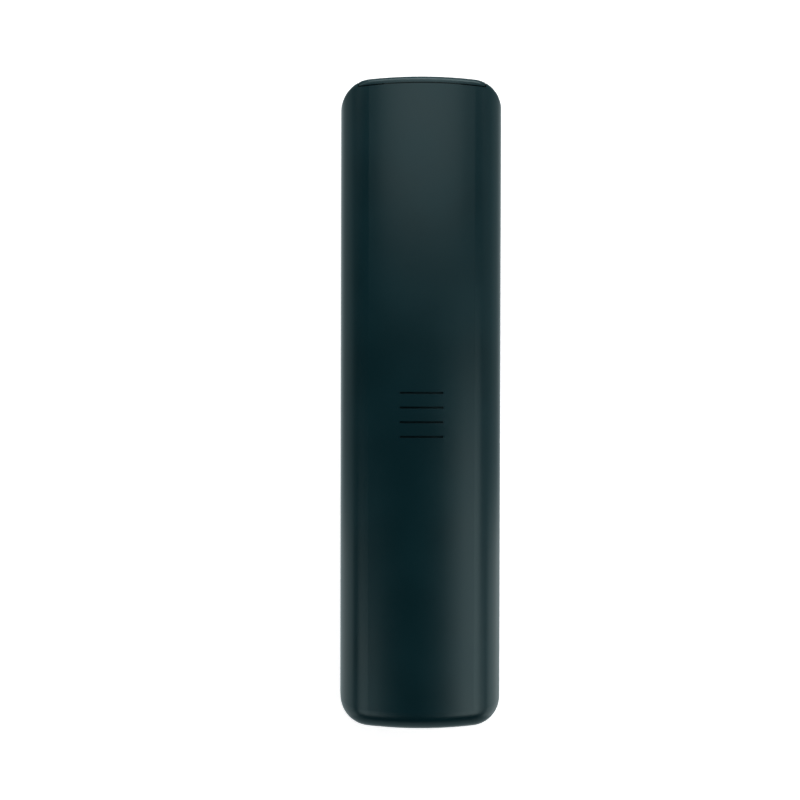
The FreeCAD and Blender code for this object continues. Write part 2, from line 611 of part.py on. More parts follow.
# Front case: a tray with a rim, and the end wall that carries the window and reaches the back
def make_front_case():
    body = new_body("front_case")
    sketch = new_sketch(body)
    outline(sketch, "0", "0", "0")
    pad(body, sketch, f"{crown} + overrun")
    trimmed = trim_to_section(body, "0")
    rolled = fillet(body, trimmed, "roll_top", end_edges(1, value(parting)))
    fillet(body, rolled, "front_round", lambda edge: edge.BoundBox.ZMax < NEAR)
    # room for the cover: behind the end wall, and above the corners of that wall
    far = f"({top_end} + overrun)"
    low = f"({bottom_end} - overrun)"
    side = "(body_half + overrun)"
    sketch = new_sketch(body, "YZ_Plane")
    rectangle(sketch, low, parting, corner_line, f"{crown} + overrun")
    pocket(body, sketch, f"2 * {side}", symmetric=True)
    sketch = new_sketch(body, "XY_Plane", corner_height)
    seam_plan(sketch, "0", far)
    rectangle(sketch, f"-{side}", f"{corner_line} - overrun", side, f"{far} + overrun")
    pocket(body, sketch, crown, reversed_way=True)
    cut_up(body, lambda item: outline(item, "case_wall", "case_wall", "case_wall"), floor_back, crown)
    # recess for the face panel
    cut_up(body, lambda item: outline(item, "rim_width", "rim_width", "rim_width"), "0", floor_front)
    cut_key_openings(body, "0", f"{floor_back} + overrun")
    # opening for the window
    sketch = new_sketch(body, "XZ_Plane", f"-{far}")
    rounded(sketch, "0", window_middle, "window_half", "window_height / 2", "window_corner")
    pocket(body, sketch, f"{far} - {window_back}", reversed_way=True)
    # tab under the cover's top edge
    tab_top = f"({crown} - cover_wall - tab_drop)"
    sketch = new_sketch(body, "XY_Plane", f"{tab_top} - tab_thick")
    rectangle(sketch, "-tab_half", f"{top_end} - case_wall - tab_reach", "tab_half",
              f"{top_end} - seam_inset / 2")
    pad(body, sketch, "tab_thick")
    # posts for the screws
    sketch = new_sketch(body, "XY_Plane", floor_back)
    for x, y in screw_places():
        circle(sketch, x, y, "post_radius")
    pad(body, sketch, f"{chassis_front} - seat_gap - {floor_back}")
    sketch = new_sketch(body, "XY_Plane", f"{chassis_front} - screw_length")
    for x, y in screw_places():
        circle(sketch, x, y, "screw_shank + seat_gap")
    pocket(body, sketch, "screw_length", reversed_way=True)
    return keep(body, "front_case")


# Cover: the whole back, open between its upper corners, so that it slides off over the cell end
def make_battery_cover():
    foot = f"({parting} + parting_gap)"
    shell = new_body("cover_shell")
    sketch = new_sketch(shell, "XY_Plane", foot)
    outline(sketch, "0", "0", "0")
    pad(shell, sketch, crown)
    trimmed = trim_to_section(shell, f"{foot} - overrun")
    rolled = fillet(shell, trimmed, "roll_bottom", end_edges(-1, value(foot) + NEAR))
    fillet(shell, rolled, "roll_top", end_edges(1, value(foot) + NEAR))
    far = f"({top_end} + overrun)"
    cut_up(shell, lambda item: seam_plan(item, "seam_gap", far), "0", f"{crown} + overrun")
    sketch = new_sketch(shell, "YZ_Plane")
    notch = f"({corner_line} - parting_gap)"
    rectangle(sketch, notch, "0", far, f"{corner_height} + parting_gap")
    pocket(shell, sketch, "2 * (body_half + overrun)", symmetric=True)
    # grip grooves, turned about the axis of the crown so that their depth stays even
    sketch = new_sketch(shell, "YZ_Plane")
    groove_y = f"({top_end} - grip_first)"
    rectangle(sketch, groove_y, f"{crown} - grip_depth", f"{groove_y} + grip_slot", f"{crown} + overrun")
    line = Part.LineSegment(Vector(0, value(crown_centre), 0), Vector(value("overrun"), value(crown_centre), 0))
    axis = sketch.addGeometry(line, True)
    pin(sketch, axis, 1, "0", crown_centre)
    pin(sketch, axis, 2, "overrun", crown_centre)
    groove = shell.newObject("PartDesign::Groove", "grip_groove")
    groove.Profile = sketch
    groove.ReferenceAxis = (sketch, ["Axis0"])
    groove.Midplane = True
    groove.setExpression("Angle", bound("grip_width / crown_radius * 180 / pi"))
    grooves = shell.newObject("PartDesign::LinearPattern", "grip_grooves")
    grooves.Originals = [groove]
    grooves.Direction = (origin_part(shell, "Y_Axis"), [""])
    grooves.Reversed = True
    grooves.Occurrences = 4
    grooves.setExpression("Length", bound("3 * grip_pitch"))
    shell.Tip = grooves
    doc.recompute()

    room = new_body("cover_room")
    sketch = new_sketch(room, "XY_Plane", f"{foot} - overrun")
    outline(sketch, "cover_wall", "cover_wall", "cover_wall")
    pad(room, sketch, crown)
    sketch = new_sketch(room, "XZ_Plane")
    section(sketch, "cover_wall", f"{foot} - 2 * overrun")
    rectangle(sketch, "-2 * body_half", f"{foot} - 3 * overrun", "2 * body_half", f"2 * {crown}")
    trimmed = pocket(room, sketch, "body_length + 2 * shoulder_radius", symmetric=True)
    fillet(room, trimmed, "roll_bottom - cover_wall", end_edges(-1, value(foot)))

    hooks = new_body("cover_hooks")
    low = f"({chassis_back} + rail_rise - rail_gap - hook_thick)"
    for k in range(-2, 3):
        for side in (1, -1):
            inner = f"{side} * (body_half - cover_wall - hook_reach)"
            outer = f"{side} * (body_half - cover_wall / 2)"
            sketch = new_sketch(hooks, "XY_Plane", low)
            rectangle(sketch, inner, f"{k} * hook_pitch - hook_length / 2", outer,
                      f"{k} * hook_pitch + hook_length / 2")
            pad(hooks, sketch, "hook_thick")

    hollow = doc.addObject("Part::Cut", "cover_hollow")
    hollow.Base = shell
    hollow.Tool = room
    cover = doc.addObject("Part::MultiFuse", "battery_cover")
    cover.Shapes = [hollow, hooks]
    return keep(cover, "battery_cover")


# Face panel: a thin plate in the recess of the front
def make_face_panel():
    body = new_body("face_panel")
    sketch = new_sketch(body, "XY_Plane", "panel_sink")
    inset = "(rim_width + panel_gap)"
    outline(sketch, inset, inset, inset)
    pad(body, sketch, "panel_thick")
    cut_key_openings(body, "0", floor_back)
    return keep(body, "face_panel")


# Keys that travel straight in: face, flange and plunger, drawn about the key's own middle
def make_round_key(name, x, y, radius):
    body = new_body(name)
    flange = f"({radius} + flange_margin)"
    corners = [("0", "key_sink"), (radius, "key_sink"), (radius, flange_front)]
    corners += [(flange, flange_front), (flange, flange_back)]
    corners += [("plunger_radius", flange_back), ("plunger_radius", pill_front), ("0", pill_front)]
    turned = revolve(body, corners, "Z_Axis")
    fillet(body, turned, "key_round", lambda edge: edge.BoundBox.ZMax < value("key_sink") + NEAR)
    place(body, x, y)
    return keep(body, name)


def make_oblong_key(name, x, y, half_width, half_height, corner):
    body = new_body(name)
    sketch = new_sketch(body, "XY_Plane", "key_sink")
    rounded(sketch, "0", "0", half_width, half_height, corner)
    face = pad(body, sketch, f"{flange_front} - key_sink")
    fillet(body, face, "key_round", lambda edge: edge.BoundBox.ZMax < value("key_sink") + NEAR)
    sketch = new_sketch(body, "XY_Plane", flange_front)
    rounded(sketch, "0", "0", f"({half_width} + flange_margin)", f"({half_height} + flange_margin)",
            f"({corner} + flange_margin)")
    pad(body, sketch, "flange_thick")
    sketch = new_sketch(body, "XY_Plane", flange_back)
    circle(sketch, "0", "0", "plunger_radius")
    pad(body, sketch, f"{pill_front} - {flange_back}")
    place(body, x, y)
    return keep(body, name)


# OK key: its flange lies behind the direction ring's inner edge
ok_flange = f"({ring_bore} + ok_overlap)"
ok_flange_front = f"({flange_front} + ok_flange_gap)"
ok_flange_back = f"({ok_flange_front} + flange_thick)"


def make_ok_key():
    body = new_body("ok_key")
    corners = [("0", "key_sink"), ("ok_radius", "key_sink"), ("ok_radius", ok_flange_front)]
    corners += [(ok_flange, ok_flange_front), (ok_flange, ok_flange_back)]
    corners += [("plunger_radius", ok_flange_back), ("plunger_radius", pill_front), ("0", pill_front)]
    turned = revolve(body, corners, "Z_Axis")
    fillet(body, turned, "key_round", lambda edge: edge.BoundBox.ZMax < value("key_sink") + NEAR)
    place(body, "0", ring_y)
    return keep(body, "ok_key")


# Direction ring: tilts on the crossed ridges of its gimbal
ring_flange_front = f"({floor_back} + ring_flange_gap)"
ring_flange_back = f"({ring_flange_front} + ring_flange_thick)"


def make_direction_ring():
    body = new_body("direction_ring")
    rebate = f"({ok_flange} + rebate_gap)"
    flange = "(ring_radius + flange_margin)"
    corners = [(ring_bore, "key_sink"), ("ring_radius", "key_sink"), ("ring_radius", ring_flange_front)]
    corners += [(flange, ring_flange_front), (flange, ring_flange_back), (rebate, ring_flange_back)]
    corners += [(rebate, flange_front), (ring_bore, flange_front)]
    turned = revolve(body, corners, "Z_Axis")
    fillet(body, turned, "key_round", lambda edge: edge.BoundBox.ZMax < value("key_sink") + NEAR)
    sketch = new_sketch(body, "XY_Plane", ring_flange_back)
    for x, y in CROSS:
        circle(sketch, f"{x} * ring_plunger_place", f"{y} * ring_plunger_place", "plunger_radius")
    pad(body, sketch, f"{board_front} - ring_plunger_gap - {ring_flange_back}")
    place(body, "0", ring_y)
    return keep(body, "direction_ring")


def make_ring_pivot():
    body = new_body("ring_pivot")
    low = f"({ring_flange_back} + seat_gap)"
    high = f"({board_front} - seat_gap)"
    web_front = f"(({low} + {high} - pivot_thick) / 2)"
    sketch = new_sketch(body, "XY_Plane", web_front)
    circle(sketch, "0", "0", "pivot_outer")
    circle(sketch, "0", "0", "pivot_inner")
    pad(body, sketch, "pivot_thick")
    ridge = "pivot_ridge / 2"
    near, away = "(pivot_inner + seat_gap)", "(pivot_outer - seat_gap)"
    for side in (1, -1):
        sketch = new_sketch(body, "XY_Plane", low)
        rectangle(sketch, f"-{ridge}", f"{side} * {near}", ridge, f"{side} * {away}")
        pad(body, sketch, f"{web_front} + pivot_thick / 2 - {low}")
        sketch = new_sketch(body, "XY_Plane", f"{web_front} + pivot_thick / 2")
        rectangle(sketch, f"{side} * {near}", f"-{ridge}", f"{side} * {away}", ridge)
        pad(body, sketch, f"{high} - {web_front} - pivot_thick / 2")
    place(body, "0", ring_y)
    return keep(body, "ring_pivot")


# Rockers: a long key that tips on a rib of the mat, held by ears at its middle
def make_rocker(name, x):
    body = new_body(name)
    sketch = new_sketch(body, "XY_Plane", "key_sink")
    rounded(sketch, "0", "0", "rocker_half_width", "rocker_half_height", "rocker_corner")
    face = pad(body, sketch, f"{flange_back} - key_sink")
    fillet(body, face, "key_round", lambda edge: edge.BoundBox.ZMax < value("key_sink") + NEAR)
    sketch = new_sketch(body, "XY_Plane", flange_front)
    ear = "(rocker_half_width + rocker_gap + flange_margin)"
    rectangle(sketch, f"-{ear}", "-rocker_ear", ear, "rocker_ear")
    pad(body, sketch, "flange_thick")
    sketch = new_sketch(body, "XY_Plane", flange_back)
    for way in (1, -1):
        circle(sketch, "0", f"{way} * rocker_plunger_place", "plunger_radius")
    pad(body, sketch, f"{board_front} - rocker_plunger_gap - {flange_back}")
    place(body, x, rocker_y)
    return keep(body, name)


# Keypad mat: a soft sheet with a guiding collar at each plunger
def make_keypad_mat():
    body = new_body("keypad_mat")
    middle = f"(({top_end} - mat_top + {shortcut_y} - mat_foot) / 2)"
    half = f"(({top_end} - mat_top - {shortcut_y} + mat_foot) / 2)"
    sketch = new_sketch(body, "XY_Plane", mat_front)
    rounded(sketch, "0", middle, "(body_half - mat_side)", half, "number_corner")
    pad(body, sketch, "mat_thick")
    places = [(x, y) for name, x, y, *rest in ROUND_KEYS + OBLONG_KEYS]
    sketch = new_sketch(body, "XY_Plane", collar_front)
    for x, y in places:
        circle(sketch, x, y, "plunger_radius + plunger_gap + collar_wall")
    pad(body, sketch, "collar_height")
    rib_front = f"({flange_back} + seat_gap)"
    sketch = new_sketch(body, "XY_Plane", rib_front)
    for name, x in ROCKERS:
        rectangle(sketch, f"{x} - rib_half_length", f"{rocker_y} - rib_half_width", f"{x} + rib_half_length",
                  f"{rocker_y} + rib_half_width")
    pad(body, sketch, f"{mat_front} - {rib_front}")
    sketch = new_sketch(body, "XY_Plane", rib_front)
    for x, y in places:
        circle(sketch, x, y, "plunger_radius + plunger_gap")
    for name, x in ROCKERS:
        for way in (1, -1):
            circle(sketch, x, f"{rocker_y} + {way} * rocker_plunger_place", "plunger_radius + rocker_gap")
    circle(sketch, "0", light_y, "light_collar")
    circle(sketch, "0", microphone_y, "seal_radius + plunger_gap")
    through = f"{board_front} - {rib_front} + overrun"
    pocket(body, sketch, through, reversed_way=True)
    # opening for the gimbal, widened at each plunger of the ring
    sketch = new_sketch(body, "XY_Plane", rib_front)
    circle(sketch, "0", ring_y, "pivot_outer + ring_bore_gap")
    pocket(body, sketch, through, reversed_way=True)
    sketch = new_sketch(body, "XY_Plane", rib_front)
    for x, y in CROSS:
        circle(sketch, f"{x} * ring_plunger_place", f"{ring_y} + {y} * ring_plunger_place",
               "plunger_radius + rocker_gap")
    pocket(body, sketch, through, reversed_way=True)
    return keep(body, "keypad_mat")


# Circuit board and what it carries
def make_circuit_board():
    body = new_body("circuit_board")
    middle = "((board_bottom - board_top) / 2)"
    half = "((body_length - board_top - board_bottom) / 2)"
    sketch = new_sketch(body, "XY_Plane", board_front)
    rounded(sketch, "0", middle, "(body_half - board_side)", half, "board_corner")
    pad(body, sketch, "board_thick")
    sketch = new_sketch(body, "XY_Plane", board_front)
    for x, y in screw_places():
        circle(sketch, x, y, "post_radius + post_gap")
    for side in (1, -1):
        circle(sketch, f"{side} * lead_spread", lead_y, "lead_half * sqrt(2) + lead_gap")
    circle(sketch, "0", microphone_y, "seal_bore")
    pocket(body, sketch, "board_thick", reversed_way=True)
    return keep(body, "circuit_board")


def make_block(name, x, y, low, size):
    """A small rectangular component with its upright edges rounded."""
    width, length, height = size
    body = new_body(name)
    sketch = new_sketch(body)
    rectangle(sketch, f"-({width}) / 2", f"-({length}) / 2", f"({width}) / 2", f"({length}) / 2")
    block = pad(body, sketch, height)
    fillet(body, block, "chip_round", lambda edge: edge.BoundBox.ZLength > value(height) / 2)
    place(body, x, y, low)
    return keep(body, name)


def make_small_parts():
    """A row of resistors and a transistor, soldered beside the emitter's driver."""
    body = new_body("small_parts")
    sketch = new_sketch(body, "XY_Plane", board_back)
    for k in range(-2, 3):
        x = f"{k} * small_pitch"
        rectangle(sketch, f"{x} - small_width / 2", f"{voice_y} - small_length / 2", f"{x} + small_width / 2",
                  f"{voice_y} + small_length / 2")
    rectangle(sketch, "-small_length", f"{voice_y} - 2 * small_length", "small_length",
              f"{voice_y} - small_length")
    pad(body, sketch, "small_thick")
    return keep(body, "small_parts")


def make_capacitor():
    body = new_body("capacitor")
    corners = [("0", "0"), ("capacitor_radius", "0"), ("capacitor_radius", "capacitor_height")]
    corners.append(("0", "capacitor_height"))
    turned = revolve(body, corners, "Z_Axis")
    fillet(body, turned, "cell_round", lambda edge: edge.BoundBox.ZLength < NEAR)
    place(body, "-capacitor_column", menu_y, board_back)
    return keep(body, "capacitor")


def make_ir_emitter():
    """A domed lamp lying on its side behind the window, its leads bent down through the board."""
    body = new_body("ir_emitter")
    corners = [("0", "0"), ("emitter_flange", "0"), ("emitter_flange", "lead_spread - lead_half")]
    corners += [("emitter_radius", "lead_spread - lead_half"), ("emitter_radius", "emitter_length")]
    corners.append(("0", "emitter_length"))
    turned = revolve(body, corners, "Y_Axis")
    tip = value("emitter_length") - NEAR
    fillet(body, turned, "emitter_radius - chip_round", lambda edge: edge.BoundBox.YMin > tip)
    foot = f"({board_front} - lead_proud - {window_middle})"
    for side in (1, -1):
        near, away = f"{side} * lead_spread - lead_half", f"{side} * lead_spread + lead_half"
        sketch = new_sketch(body, "XY_Plane", "-lead_half")
        rectangle(sketch, near, "-lead_run - lead_half", away, "lead_half")
        pad(body, sketch, "2 * lead_half")
        sketch = new_sketch(body, "XY_Plane", foot)
        rectangle(sketch, near, "-lead_run - lead_half", away, "lead_half - lead_run")
        pad(body, sketch, f"-{foot}")
    place(body, "0", emitter_back, window_middle)
    return keep(body, "ir_emitter")


def make_ir_window():
    """A plug that closes the opening flush with the bowed end, with a flange behind the wall."""
    body = new_body("ir_window")
    far = f"({top_end} + overrun)"
    steps = (("window_half + window_flange", "window_height / 2 + window_flange",
              "window_corner + window_flange", "case_wall + seat_gap"),
             ("window_half - window_gap", "window_height / 2 - window_gap", "window_corner - window_gap", "0"))
    for half_width, half_height, corner, inset in steps:
        sketch = new_sketch(body, "XZ_Plane", f"-{far}")
        rounded(sketch, "0", window_middle, f"({half_width})", f"({half_height})", f"({corner})")
        pad(body, sketch, f"{far} - {window_back}")
        sketch = new_sketch(body)
        outline(sketch, f"({inset})", f"({inset})", f"({inset})")
        rectangle(sketch, "-2 * body_half", "-body_length", "2 * body_half", "body_length")
        pocket(body, sketch, crown, reversed_way=True)
    return keep(body, "ir_window")


def make_light_pipe():
    body = new_body("light_pipe")
    collar_near = f"({floor_back} + seat_gap)"
    collar_far = f"({collar_near} + light_collar_thick)"
    back = f"({board_front} - diode_thick - light_gap)"
    front = "(panel_sink + seat_gap)"
    corners = [("0", front), ("light_radius", front), ("light_radius", collar_near)]
    corners += [("light_collar", collar_near), ("light_collar", collar_far)]
    corners += [("light_radius", collar_far), ("light_radius", back), ("0", back)]
    revolve(body, corners, "Z_Axis")
    place(body, "0", light_y)
    return keep(body, "light_pipe")


def make_microphone_seal():
    body = new_body("microphone_seal")
    near, away = f"({floor_back} + seat_gap)", f"({board_front} - seat_gap)"
    revolve(body, [("seal_bore", near), ("seal_radius", near), ("seal_radius", away), ("seal_bore", away)],
            "Z_Axis")
    place(body, "0", microphone_y)
    return keep(body, "microphone_seal")


# Chassis: the plate that holds the board down, with the cell bay, the housing and the rails
def make_rear_chassis():
    body = new_body("rear_chassis")
    outer = f"({bay_half} + chassis_wall)"
    lid = f"({crown} - cover_wall - housing_drop)"
    # raised housing, hollow from below, its edges rounded inside and out
    sketch = new_sketch(body, "XY_Plane", chassis_back)
    rectangle(sketch, f"-{outer}", bay_top, outer, housing_end)
    pad(body, sketch, f"{lid} - {chassis_back}")
    sketch = new_sketch(body, "XY_Plane", chassis_front)
    rectangle(sketch, f"-{bay_half}", f"{bay_top} + chassis_wall", bay_half, f"{housing_end} - chassis_wall")
    hollow = pocket(body, sketch, f"{lid} - chassis_wall - {chassis_front}", reversed_way=True)
    ceiling = value(f"{lid} - chassis_wall")
    inside = fillet(body, hollow, "housing_round - chassis_wall",
                    lambda edge: abs(edge.BoundBox.ZMin - ceiling) < NEAR and edge.BoundBox.ZLength < NEAR)
    fillet(body, inside, "housing_round",
           lambda edge: abs(edge.BoundBox.ZMin - value(lid)) < NEAR and edge.BoundBox.ZLength < NEAR)
    # plate, open under the housing
    sketch = new_sketch(body, "XY_Plane", chassis_front)
    outline(sketch, "chassis_edge", "chassis_top", "chassis_edge")
    rectangle(sketch, f"-{bay_half}", f"{bay_top} + chassis_wall", bay_half, f"{housing_end} - chassis_wall")
    pad(body, sketch, "chassis_thick")
    # walls of the cell bay, its keel and cradle ribs
    sketch = new_sketch(body, "XY_Plane", chassis_back)
    rectangle(sketch, f"-{outer}", f"{bay_bottom} - chassis_wall", outer, f"{bay_top} + chassis_wall / 2")
    rectangle(sketch, f"-{bay_half}", bay_bottom, bay_half, bay_top)
    pad(body, sketch, "bay_side_rise")
    sketch = new_sketch(body, "XY_Plane", chassis_back)
    rectangle(sketch, f"-{outer}", f"{bay_bottom} - chassis_wall", outer, bay_bottom)
    pad(body, sketch, "bay_end_rise")
    sketch = new_sketch(body, "XY_Plane", chassis_back)
    rectangle(sketch, "-keel_half", f"{bay_bottom} + contact_thick + cell_gap", "keel_half",
              f"{bay_top} - contact_thick - cell_gap")
    pad(body, sketch, "keel_rise")
    for k in range(1, 4):
        middle = f"({bay_bottom} + {k} * {bay_length} / 4)"
        sketch = new_sketch(body, "XY_Plane", chassis_back)
        for side in (1, -1):
            rectangle(sketch, f"{side} * {bay_half}", f"{middle} - cradle_width / 2",
                      f"{side} * ({bay_half} - cradle_reach)", f"{middle} + cradle_width / 2")
        pad(body, sketch, "cradle_rise")
    # rails that the cover's hooks run under
    hook_inner = "(body_half - cover_wall - hook_reach)"
    low = f"({bottom_end} + screw_bottom + 2 * screw_head)"
    high = f"({top_end} - screw_top - 2 * screw_head)"
    for side in (1, -1):
        sketch = new_sketch(body, "XY_Plane", chassis_back)
        rectangle(sketch, f"{side} * ({hook_inner} - rail_gap - rail_wall)", low,
                  f"{side} * ({hook_inner} - rail_gap)", high)
        pad(body, sketch, "rail_rise + rail_thick")
        sketch = new_sketch(body, "XY_Plane", f"{chassis_back} + rail_rise")
        rectangle(sketch, f"{side} * ({hook_inner} - rail_gap - rail_wall)", low,
                  f"{side} * (body_half - cover_wall - rail_gap)", high)
        pad(body, sketch, "rail_thick")
    # openings for the screws, the contacts' tails and the emitter
    sketch = new_sketch(body, "XY_Plane", chassis_front)
    for x, y in screw_places():
        circle(sketch, x, y, "screw_shank + rail_gap")
    for side in (1, -1):
        tail = f"{side} * cell_offset"
        rectangle(sketch, f"{tail} - tail_half - cell_gap", f"{bay_top} - contact_thick - cell_gap",
                  f"{tail} + tail_half + cell_gap", bay_top)
    pocket(body, sketch, "chassis_thick", reversed_way=True)
    sketch = new_sketch(body, "XY_Plane", chassis_front)
    rectangle(sketch, "-emitter_flange - post_gap", f"{lead_y} - lead_half - post_gap",
              "emitter_flange + post_gap", f"{top_end} - chassis_top + overrun")
    pocket(body, sketch, "chassis_thick", reversed_way=True)
    return keep(body, "rear_chassis")


def make_case_screws():
    """Four pan-head screws with a cross recess, one solid each."""
    body = new_body("case_screws")
    seat = f"({chassis_back} + seat_gap)"
    sketch = new_sketch(body, "XY_Plane", seat)
    for x, y in screw_places():
        circle(sketch, x, y, "screw_head")
    heads = pad(body, sketch, "screw_head_rise")
    top = value(f"{seat} + screw_head_rise") - NEAR
    fillet(body, heads, "screw_round", lambda edge: edge.BoundBox.ZMin > top)
    sketch = new_sketch(body, "XY_Plane", f"{seat} - screw_length")
    for x, y in screw_places():
        circle(sketch, x, y, "screw_shank")
    pad(body, sketch, "screw_length")
    slots = (("screw_slot / 2", "screw_slot_half"), ("screw_slot_half", "screw_slot / 2"))
    for half_width, half_height in slots:
        sketch = new_sketch(body, "XY_Plane", f"{seat} + screw_head_rise - screw_slot_depth")
        for x, y in screw_places():
            rectangle(sketch, f"{x} - {half_width}", f"{y} - {half_height}", f"{x} + {half_width}",
                      f"{y} + {half_height}")
        pocket(body, sketch, "screw_slot_depth", reversed_way=True)
    return keep(body, "case_screws")


# Cells and their contacts
cell_a_end = f"({bay_top} - contact_thick - contact_gap - cell_length)"
cell_b_end = f"({bay_bottom} + contact_thick + contact_gap + cell_length)"


def make_cell(name, x, y, turn):
    """A cell lying along Y, its flat end at the given place and its button ahead of it."""
    body = new_body(name)
    shoulder = "(cell_length - cell_button_rise)"
    corners = [("0", "0"), ("cell_radius", "0"), ("cell_radius", shoulder), ("cell_button", shoulder)]
    corners += [("cell_button", "cell_length"), ("0", "cell_length")]
    turned = revolve(body, corners, "Y_Axis")
    width = value("cell_radius") * 2 - NEAR
    fillet(body, turned, "cell_round",
           lambda edge: edge.BoundBox.YLength < NEAR and edge.BoundBox.XLength > width)
    body.Placement = FreeCAD.Placement(Vector(), FreeCAD.Rotation(UP, turn))
    place(body, x, y, cell_height)
    return keep(body, name)


def make_contact(name, left, right, low, high, tail=None):
    """An upright plate against an end wall of the bay, with a solder tail where it feeds the board."""
    body = new_body(name)
    foot = f"({chassis_back} + seat_gap)"
    sketch = new_sketch(body, "XY_Plane", foot)
    rectangle(sketch, left, low, right, high)
    plate = pad(body, sketch, "contact_rise")
    top = value(f"{foot} + contact_rise") - NEAR
    fillet(body, plate, "cell_round", lambda edge: edge.BoundBox.ZMin > top and edge.BoundBox.XLength < NEAR)
    if tail:
        sketch = new_sketch(body, "XY_Plane", f"{board_back} + seat_gap")
        rectangle(sketch, f"{tail} - tail_half", low, f"{tail} + tail_half", high)
        pad(body, sketch, f"{foot} - {board_back} - seat_gap")
    return keep(body, name)


def joined_arcs(start, start_way, end, end_way):
    """Two arcs that leave one point and reach another in given directions, tangent where they meet."""
    span = end - start
    spread = 2 * (1 - start_way.dot(end_way))
    slope = 2 * span.dot(start_way + end_way)
    reach = (math.sqrt(slope ** 2 + 4 * spread * span.dot(span)) - slope) / (2 * spread)
    meeting = (start + end + (start_way - end_way) * reach) / 2
    arcs = []
    halves = ((start, meeting, start + start_way * reach), (meeting, end, end - end_way * reach))
    for first, last, apex in halves:
        weight = (last - first).Length / 2 / reach
        middle = (first + last + apex * (2 * weight)) / (2 + 2 * weight)
        arcs.append(Part.Arc(first, middle, last).toShape())
    return arcs


def make_spring(name, x, y, way):
    """A conical coil that narrows away from its contact plate, as one bent wire."""
    wire, turns = value("spring_wire"), value("spring_turns")
    base, tip = value("spring_base"), value("spring_tip")
    rise = value("spring_length - seat_gap - 2 * spring_wire")
    per_turn = 4
    steps = round(per_turn * turns)

    def point(share):
        radius = base + (tip - base) * share
        angle = 2 * math.pi * turns * share
        return Vector(radius * math.cos(angle), rise * share, radius * math.sin(angle))

    def heading(share):
        radius = base + (tip - base) * share
        sweep = 2 * math.pi * turns
        angle = sweep * share
        inwards = tip - base
        direction = Vector(inwards * math.cos(angle) - radius * sweep * math.sin(angle), rise,
                           inwards * math.sin(angle) + radius * sweep * math.cos(angle))
        return direction.normalize()

    edges = []
    for k in range(steps):
        near, away = k / steps, (k + 1) / steps
        edges += joined_arcs(point(near), heading(near), point(away), heading(away))
    profile = Part.Wire([Part.Circle(point(0), heading(0), wire).toShape()])
    coil = Part.Wire(edges).makePipeShell([profile], True, False)
    pitches = [point(k / steps).distanceToPoint(point((k + per_turn) / steps))
               for k in range(steps - per_turn + 1)]
    print(f"{name}: least gap between turns {min(pitches) - 2 * wire:.2f} mm")
    spring = doc.addObject("Part::Feature", name)
    spring.Shape = coil
    turn = 0 if way > 0 else 180
    start = value(y) + way * value("seat_gap + spring_wire")
    middle = Vector(value(x), start, value(cell_height))
    spring.Placement = FreeCAD.Placement(middle, FreeCAD.Rotation(UP, turn))
    return keep(spring, name)


make_front_case()
make_battery_cover()
make_face_panel()
make_ir_window()
make_rear_chassis()
make_case_screws()
make_keypad_mat()
for name, x, y, radius in ROUND_KEYS:
    make_round_key(name, x, y, radius)
for key in OBLONG_KEYS:
    make_oblong_key(*key)
for name, x in ROCKERS:
    make_rocker(name, x)
make_ok_key()
make_direction_ring()
make_ring_pivot()
make_circuit_board()
make_block("radio_chip", "0", ring_y, board_back, ("radio_side", "radio_side", "radio_thick"))
make_block("crystal", "radio_side", ring_y, board_back, ("crystal_width", "crystal_length", "crystal_thick"))
make_block("microphone", "0", microphone_y, board_back,
           ("microphone_width", "microphone_length", "microphone_thick"))
make_block("status_diode", "0", light_y, f"{board_front} - diode_thick",
           ("diode_width", "diode_length", "diode_thick"))
make_small_parts()
make_capacitor()
make_ir_emitter()
make_light_pipe()
make_microphone_seal()
make_cell("battery_a", "-cell_offset", cell_a_end, 0)
make_cell("battery_b", "cell_offset", cell_b_end, 180)
plate_inner, plate_outer = "(cell_offset - contact_half)", "(cell_offset + contact_half)"
make_contact("positive_tab", f"-{plate_outer}", f"-{plate_inner}", f"{bay_top} - contact_thick", bay_top,
             "-cell_offset")
make_contact("negative_plate", plate_inner, plate_outer, f"{bay_top} - contact_thick", bay_top, "cell_offset")
make_contact("bridge_strip", f"-{plate_outer}", plate_outer, bay_bottom, f"{bay_bottom} + contact_thick")
make_spring("negative_spring", "cell_offset", f"{bay_top} - contact_thick", -1)
make_spring("bridge_spring", "-cell_offset", f"{bay_bottom} + contact_thick", 1)
doc.recompute()

for item in doc.Objects:
    if "Invalid" in item.State or "Error" in item.State:
        raise RuntimeError(f"{item.Name} failed to build")
for item in pieces:
    if item.Shape.isNull() or not item.Shape.isValid():
        raise RuntimeError(f"{item.Label} has no sound shape")
for item in pieces:
    item.Shape.exportStep(f"parts/{item.Label}.step")
box = Part.makeCompound([item.Shape for item in pieces]).optimalBoundingBox(False)
print(f"{len(pieces)} pieces, {box.XLength:.2f} x {box.YLength:.2f} x {box.ZLength:.2f} mm")
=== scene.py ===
# %% [markdown]
# # A voice remote control, lying on its keys
# The handset is photographed from straight above its back, on a white sheet. Its frame comes from a
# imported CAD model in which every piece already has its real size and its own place. This lesson
# dresses that frame: it gives each plastic, rubber and metal its finish, adds what is printed on the
# keys, winds the springs, wraps the cells, and then lights and frames the handset.

import bpy
import numpy as np
from mathutils import Matrix, Vector


